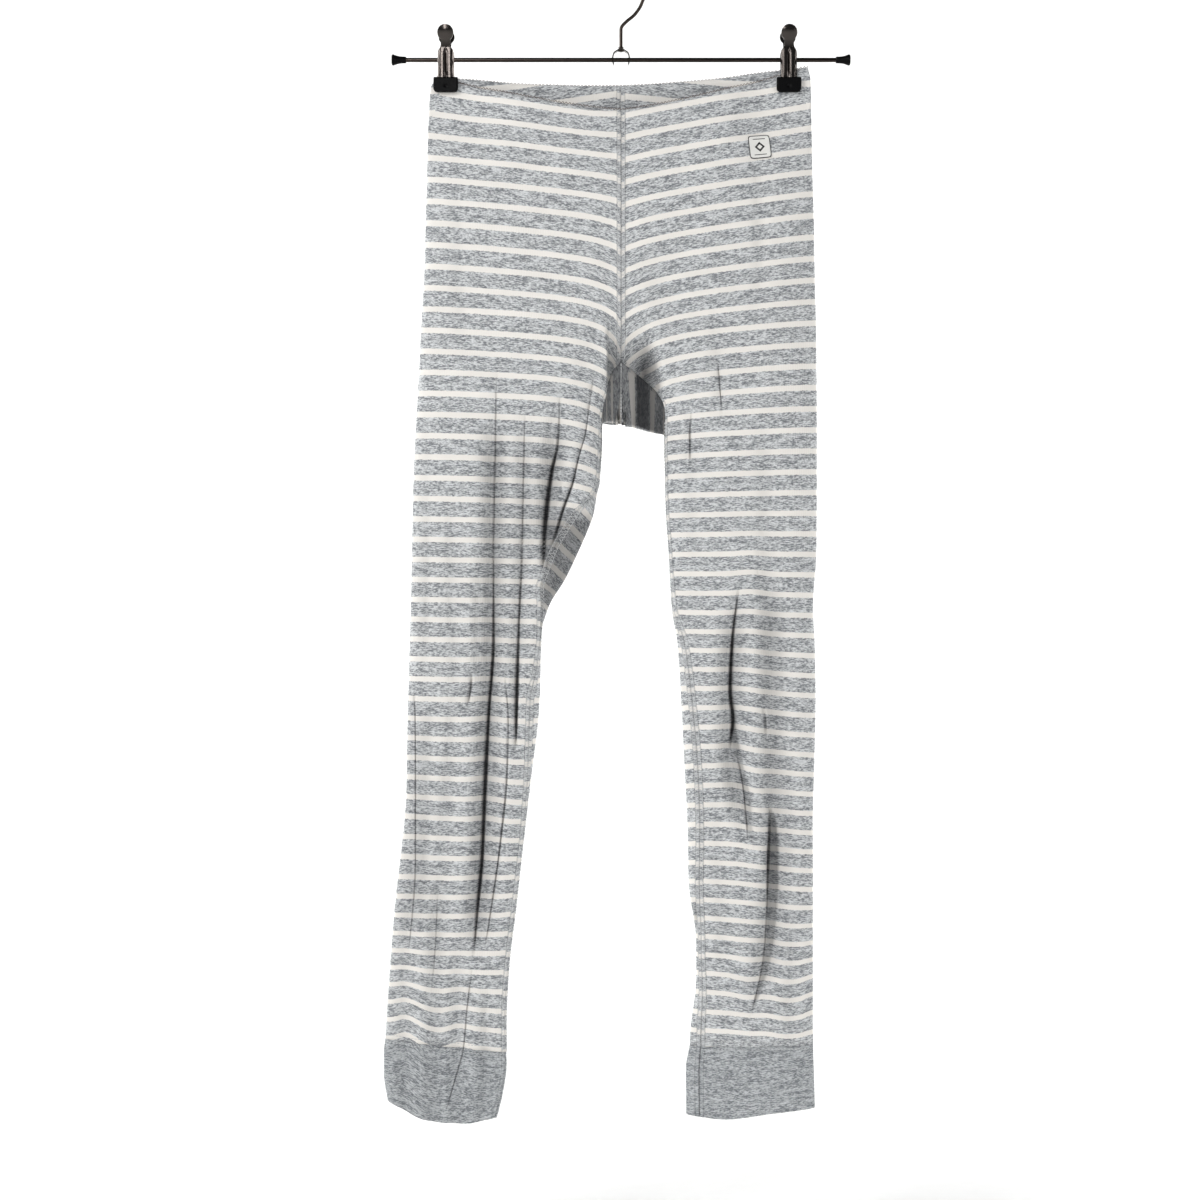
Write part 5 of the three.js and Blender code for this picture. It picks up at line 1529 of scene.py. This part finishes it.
class LEGGINGS_OT_hook(Operator):
    """Make the wire hook and the bent bracket that carries the rod"""

    bl_idname = "leggings.hook"
    bl_label = "Hook"

    def execute(self, context):
        settings = context.scene.leggings_hanger
        dark = bpy.data.materials["black_nickel_plated_steel"]
        chrome = polished_metal("chrome_plated_steel", settings.chrome, 0.09, 900.0)
        stem = [(0, -82.9), (0, -76), (0, -66), (0.6, -60.3), (5.4, -55), (11.7, -49.8), (17, -42.6)]
        centre_z = HOOK_WIRE_RADIUS - HOOK_LOOP_RADIUS
        loop = [math.radians(a) for a in np.linspace(-34, 205, 11)]
        route = stem + [(HOOK_LOOP_RADIUS * math.cos(a), centre_z + HOOK_LOOP_RADIUS * math.sin(a)) for a in loop]
        line = curve_through([(x, 0, z) for x, z in route], 8)
        tip = np.ones(len(line))
        tip[-1], tip[-2] = 0.55, 0.9
        wire = sweep(line, circle(HOOK_WIRE_RADIUS, 20), (0, 1, 0), tip)
        rivet_z, collar_z = -82, -78.9
        rivet = lathe([(rivet_z - 0.6, 2.2), (rivet_z - 0.3, 2.7), (rivet_z + 0.5, 2.8)], 24, (0, 0, 1))
        collar = lathe([(collar_z - 0.5, 2.4), (collar_z + 0.2, 2.4), (collar_z + 0.5, 2.0)], 24, (0, 0, 1))
        points, faces = join([wire, rivet, collar])
        new_piece("hook_wire", points, faces, dark, ["hook"], crisp=40)
        self.make_bracket(chrome)
        return {"FINISHED"}

    def make_bracket(self, chrome):
        """A flat strap bent over the top of the rod, with its two feet round it."""
        half, strap, top_z, shoulder_z, foot_z, depth = 8.1, 1.1, -79.7, -85.2, -94.2, 6.4
        middle = half - strap / 2
        top = top_z - strap / 2
        route = [(-middle + 0.8, foot_z), (-middle, -90), (-middle + 0.3, -87), (-middle + 1.3, shoulder_z + 1.2),
                 (-3.4, top - 1.7), (0, top), (3.4, top - 1.7), (middle - 1.3, shoulder_z + 1.2),
                 (middle - 0.3, -87), (middle, -90), (middle - 0.8, foot_z)]
        line = curve_through([(x, 0, z) for x, z in route], 6)
        ease = 0.35
        half_depth, half_strap = depth / 2, strap / 2
        section = np.array([
            (-half_depth + ease, -half_strap), (half_depth - ease, -half_strap), (half_depth, -half_strap + ease),
            (half_depth, half_strap - ease), (half_depth - ease, half_strap), (-half_depth + ease, half_strap),
            (-half_depth, half_strap - ease), (-half_depth, -half_strap + ease),
        ])
        points, faces = sweep(line, section, (0, 1, 0))
        new_piece("bracket_strap", points, faces, chrome, ["hook_bracket"], crisp=30)


# Leaf of a clip from its foot in the rubber tip to its neck below the finger tab
LEAF = table("z y width flute", [
    [-74, 7.1, 8.8, 0],
    [-77.4, 6, 8.6, 0],
    [-79.6, 5.4, 9.8, 0],
    [-82.4, 4.8, 13.6, 0.2],
    [-86, 4.3, 14.6, 0.6],
    [-92, 4.1, 14.4, 0.6],
    [-101, 3.8, 14.4, 0.55],
    [-105.5, 3.7, 15, 0.4],
    [-117.2, 3.7, 15, 0],
])
LEAF_THICKNESS = 0.9
TAB = SimpleNamespace(z=-67.5, radius=7.2, start_y=7.1, end_y=11.5)
EAR = SimpleNamespace(bottom_z=-94.6, top_z=-85.4, reach=3.4, thickness=0.9, front_x=5.75, back_x=4.55)
TIP = SimpleNamespace(width=22, top_z=-106.2, bottom_z=-119.7, inner=1.75, outer=5.6, corner=3.4)


class LEGGINGS_OT_clips(Operator):
    """Make the two sprung clips: pressed steel leaves, coil springs and rubber tips"""

    bl_idname = "leggings.clips"
    bl_label = "Clips"

    def execute(self, context):
        chrome = bpy.data.materials["chrome_plated_steel"]
        rubber = bpy.data.materials["moulded_black_pvc"]
        for side, x in CLIP_X.items():
            for face, facing, ear_x in (("front", -1, EAR.front_x), ("back", 1, EAR.back_x)):
                points, faces = join([self.leaf(facing), *self.ears(facing, ear_x)])
                self.place(f"leaf_{side}_{face}", points, faces, x, chrome, "chrome", f"clip_{side}_{face}", 35)
                points, faces = self.tip(facing)
                self.place(f"tip_{side}_{face}", points, faces, x, rubber, "black_rubber",
                           f"clip_{side}_tip_{face}", 50)
            points, faces = self.spring()
            self.place(f"spring_{side}", points, faces, x, chrome, "chrome", f"clip_{side}_spring", 50)
        return {"FINISHED"}

    def place(self, name, points, faces, x, material, slot, node, crisp):
        points = points + [x, 0, 0]
        new_piece(name, points, faces, material, [node], crisp=crisp)

    def leaf(self, facing):
        """A pressed leaf: its wall follows the body with its two flutes, the neck and the round tab."""
        body_z = np.concatenate([np.linspace(-117.2, -82, 40), np.linspace(-81.5, -74.4, 14)])
        tab_end = TAB.z + TAB.radius - 0.02
        tab_share = np.sin(np.linspace(0, 1, 22) * math.pi / 2)
        tab_z = mix(-74, tab_end, tab_share)
        tab_width = 2 * np.sqrt(np.maximum(TAB.radius ** 2 - (tab_z - TAB.z) ** 2, 0.0004))
        tab_width = np.where(tab_z < TAB.z, np.maximum(tab_width, 8.7), tab_width)
        z = np.concatenate([body_z, tab_z])
        y = np.concatenate([value_at(LEAF, "y", body_z), mix(TAB.start_y, TAB.end_y, np.sin(tab_share * math.pi / 2))])
        width = np.concatenate([value_at(LEAF, "width", body_z), tab_width])
        flute = np.concatenate([value_at(LEAF, "flute", body_z), np.zeros(len(tab_z))])
        steps = np.linspace(-1, 1, 33)
        x = steps[None] * width[:, None] / 2
        across = np.clip((np.abs(steps) - 0.45) / 0.43, -1, 1)
        lift = flute[:, None] * (1 - across ** 4)[None] * 2
        # The tab is dished, and the leaf's long edges turn back towards the cloth
        dish = 0.7 * np.concatenate([np.zeros(len(body_z)), np.sin(tab_share * math.pi)])[:, None] * (steps ** 2)[None]
        curl = (flute > 0.05)[:, None] * np.where(np.abs(steps) > 0.93, 0.8, 0)[None]
        outer_y = y[:, None] + lift + LEAF_THICKNESS / 2 - dish - curl
        zz = np.repeat(z[:, None], len(steps), axis=1)
        outer = np.stack([x, facing * outer_y, zz], axis=-1)
        inner = np.stack([x, facing * (outer_y - LEAF_THICKNESS), zz], axis=-1)
        points = np.concatenate([outer.reshape(-1, 3), inner.reshape(-1, 3)])
        faces = wall_faces(len(z), len(steps))
        if facing > 0:
            faces = faces[:, ::-1]
        return points, faces.tolist()

    def ears(self, facing, ear_x):
        """Two cheeks with a round hole for the rod, bent back from the leaf."""
        parts = []
        hole, sides = ROD_RADIUS + 0.3, 40
        angle = 2 * np.pi * np.arange(sides) / sides
        c, s = np.cos(angle), np.sin(angle)
        half_height = (EAR.top_z - EAR.bottom_z) / 2
        towards_leaf = np.where(c > 0, 4.2, EAR.reach)
        edge_scale = 1 / np.maximum(np.abs(c) ** 3 / towards_leaf ** 3 + np.abs(s) ** 3 / half_height ** 3,
                                    1e-6) ** (1 / 3)
        outline = np.stack([c * edge_scale, s * edge_scale], axis=-1)
        ring = np.stack([c * hole, s * hole], axis=-1)
        for side in (-1, 1):
            near = ear_x if side > 0 else -ear_x - EAR.thickness
            loops = []
            for x, loop in ((near, ring), (near, outline), (near + EAR.thickness, outline),
                            (near + EAR.thickness, ring)):
                loops.append(np.stack([np.full(sides, x), facing * loop[:, 0], ROD_Z + loop[:, 1]], axis=-1))
            points = np.concatenate(loops)
            index = np.arange(4 * sides).reshape(4, sides)
            following = np.roll(index, -1, axis=1)
            rows = [0, 1, 2, 3]
            faces = []
            for a, b in zip(rows, rows[1:] + rows[:1]):
                faces += np.stack([index[a], index[b], following[b], following[a]], axis=-1).tolist()
            parts.append((points, faces))
        return parts

    def spring(self):
        """A close coil round the rod between the cheeks."""
        wire, turns, half = 0.45, 5, 4.0
        radius = 3.3 - wire
        t = np.linspace(0, 2 * math.pi * turns, turns * 28)
        coil = np.stack([mix(-half + wire, half - wire, t / t[-1]), radius * np.cos(t), ROD_Z + radius * np.sin(t)], axis=-1)
        return sweep(coil, circle(wire, 8), (1, 0, 0))

    def tip(self, facing):
        """A moulded pad on the leaf's foot, with rounded lower corners and a dimple."""
        half = TIP.width / 2
        z = np.concatenate([TIP.top_z - np.array([0, 0.25, 0.7]), np.linspace(-107.6, -119.0, 20),
                            TIP.bottom_z + np.array([0.25, 0])])
        from_bottom = z - TIP.bottom_z
        corner = np.clip((TIP.corner - from_bottom) / TIP.corner, 0, 1)
        reach = half - TIP.corner * (1 - np.sqrt(1 - corner ** 2))
        top_ease = np.array([1.1, 0.5, 0.15] + [0] * (len(z) - 5) + [0.15, 0.5])
        columns = 33
        u = np.linspace(-1, 1, columns)
        edge = 1 - np.clip((np.abs(u) - 0.94) / 0.06, 0, 1) ** 2 * 0.16
        x = u[None] * (reach - top_ease)[:, None]
        depth = (TIP.outer - TIP.inner) / 2
        centre_y = (TIP.outer + TIP.inner) / 2
        thick = (depth - top_ease)[:, None] * edge[None]
        zz = np.repeat(z[:, None], columns, axis=1)
        dimple = 0.7 * np.exp(-((x / 1.3) ** 2 + ((zz - (TIP.bottom_z + 5.4)) / 1.3) ** 2))
        outer = np.stack([x, facing * (centre_y + thick - dimple), zz], axis=-1)
        inner = np.stack([x, facing * (centre_y - thick), zz], axis=-1)
        points = np.concatenate([outer.reshape(-1, 3), inner.reshape(-1, 3)])
        return points, wall_faces(len(z), columns).tolist()


class LEGGINGS_PT_panel(Panel):
    """Lists the pieces and their settings"""

    bl_label = "Leggings"
    bl_idname = "LEGGINGS_PT_panel"
    bl_space_type = "VIEW_3D"
    bl_region_type = "UI"
    bl_category = "Leggings"

    def draw(self, context):
        layout = self.layout
        for step in STEPS:
            layout.operator(step.bl_idname)
        for group in SETTINGS:
            box = layout.box()
            settings = getattr(context.scene, group)
            for name in settings.__annotations__:
                box.prop(settings, name)


SETTINGS = {
    "leggings_stage": StageSettings,
    "leggings_cloth": ClothSettings,
    "leggings_label": LabelSettings,
    "leggings_hanger": HangerSettings,
}
STEPS = (
    LEGGINGS_OT_stage,
    LEGGINGS_OT_legs,
    LEGGINGS_OT_cuffs,
    LEGGINGS_OT_seams,
    LEGGINGS_OT_label,
    LEGGINGS_OT_rod,
    LEGGINGS_OT_hook,
    LEGGINGS_OT_clips,
)


def register():
    for item in (*SETTINGS.values(), *STEPS, LEGGINGS_PT_panel):
        bpy.utils.register_class(item)
    for name, group in SETTINGS.items():
        setattr(bpy.types.Scene, name, PointerProperty(type=group))


def unregister():
    for name in SETTINGS:
        delattr(bpy.types.Scene, name)
    for item in reversed((*SETTINGS.values(), *STEPS, LEGGINGS_PT_panel)):
        bpy.utils.unregister_class(item)


def main():
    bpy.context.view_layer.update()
    register()
    for step in STEPS:
        group, name = step.bl_idname.split(".")
        getattr(getattr(bpy.ops, group), name)()


if __name__ == "__main__":
    main()
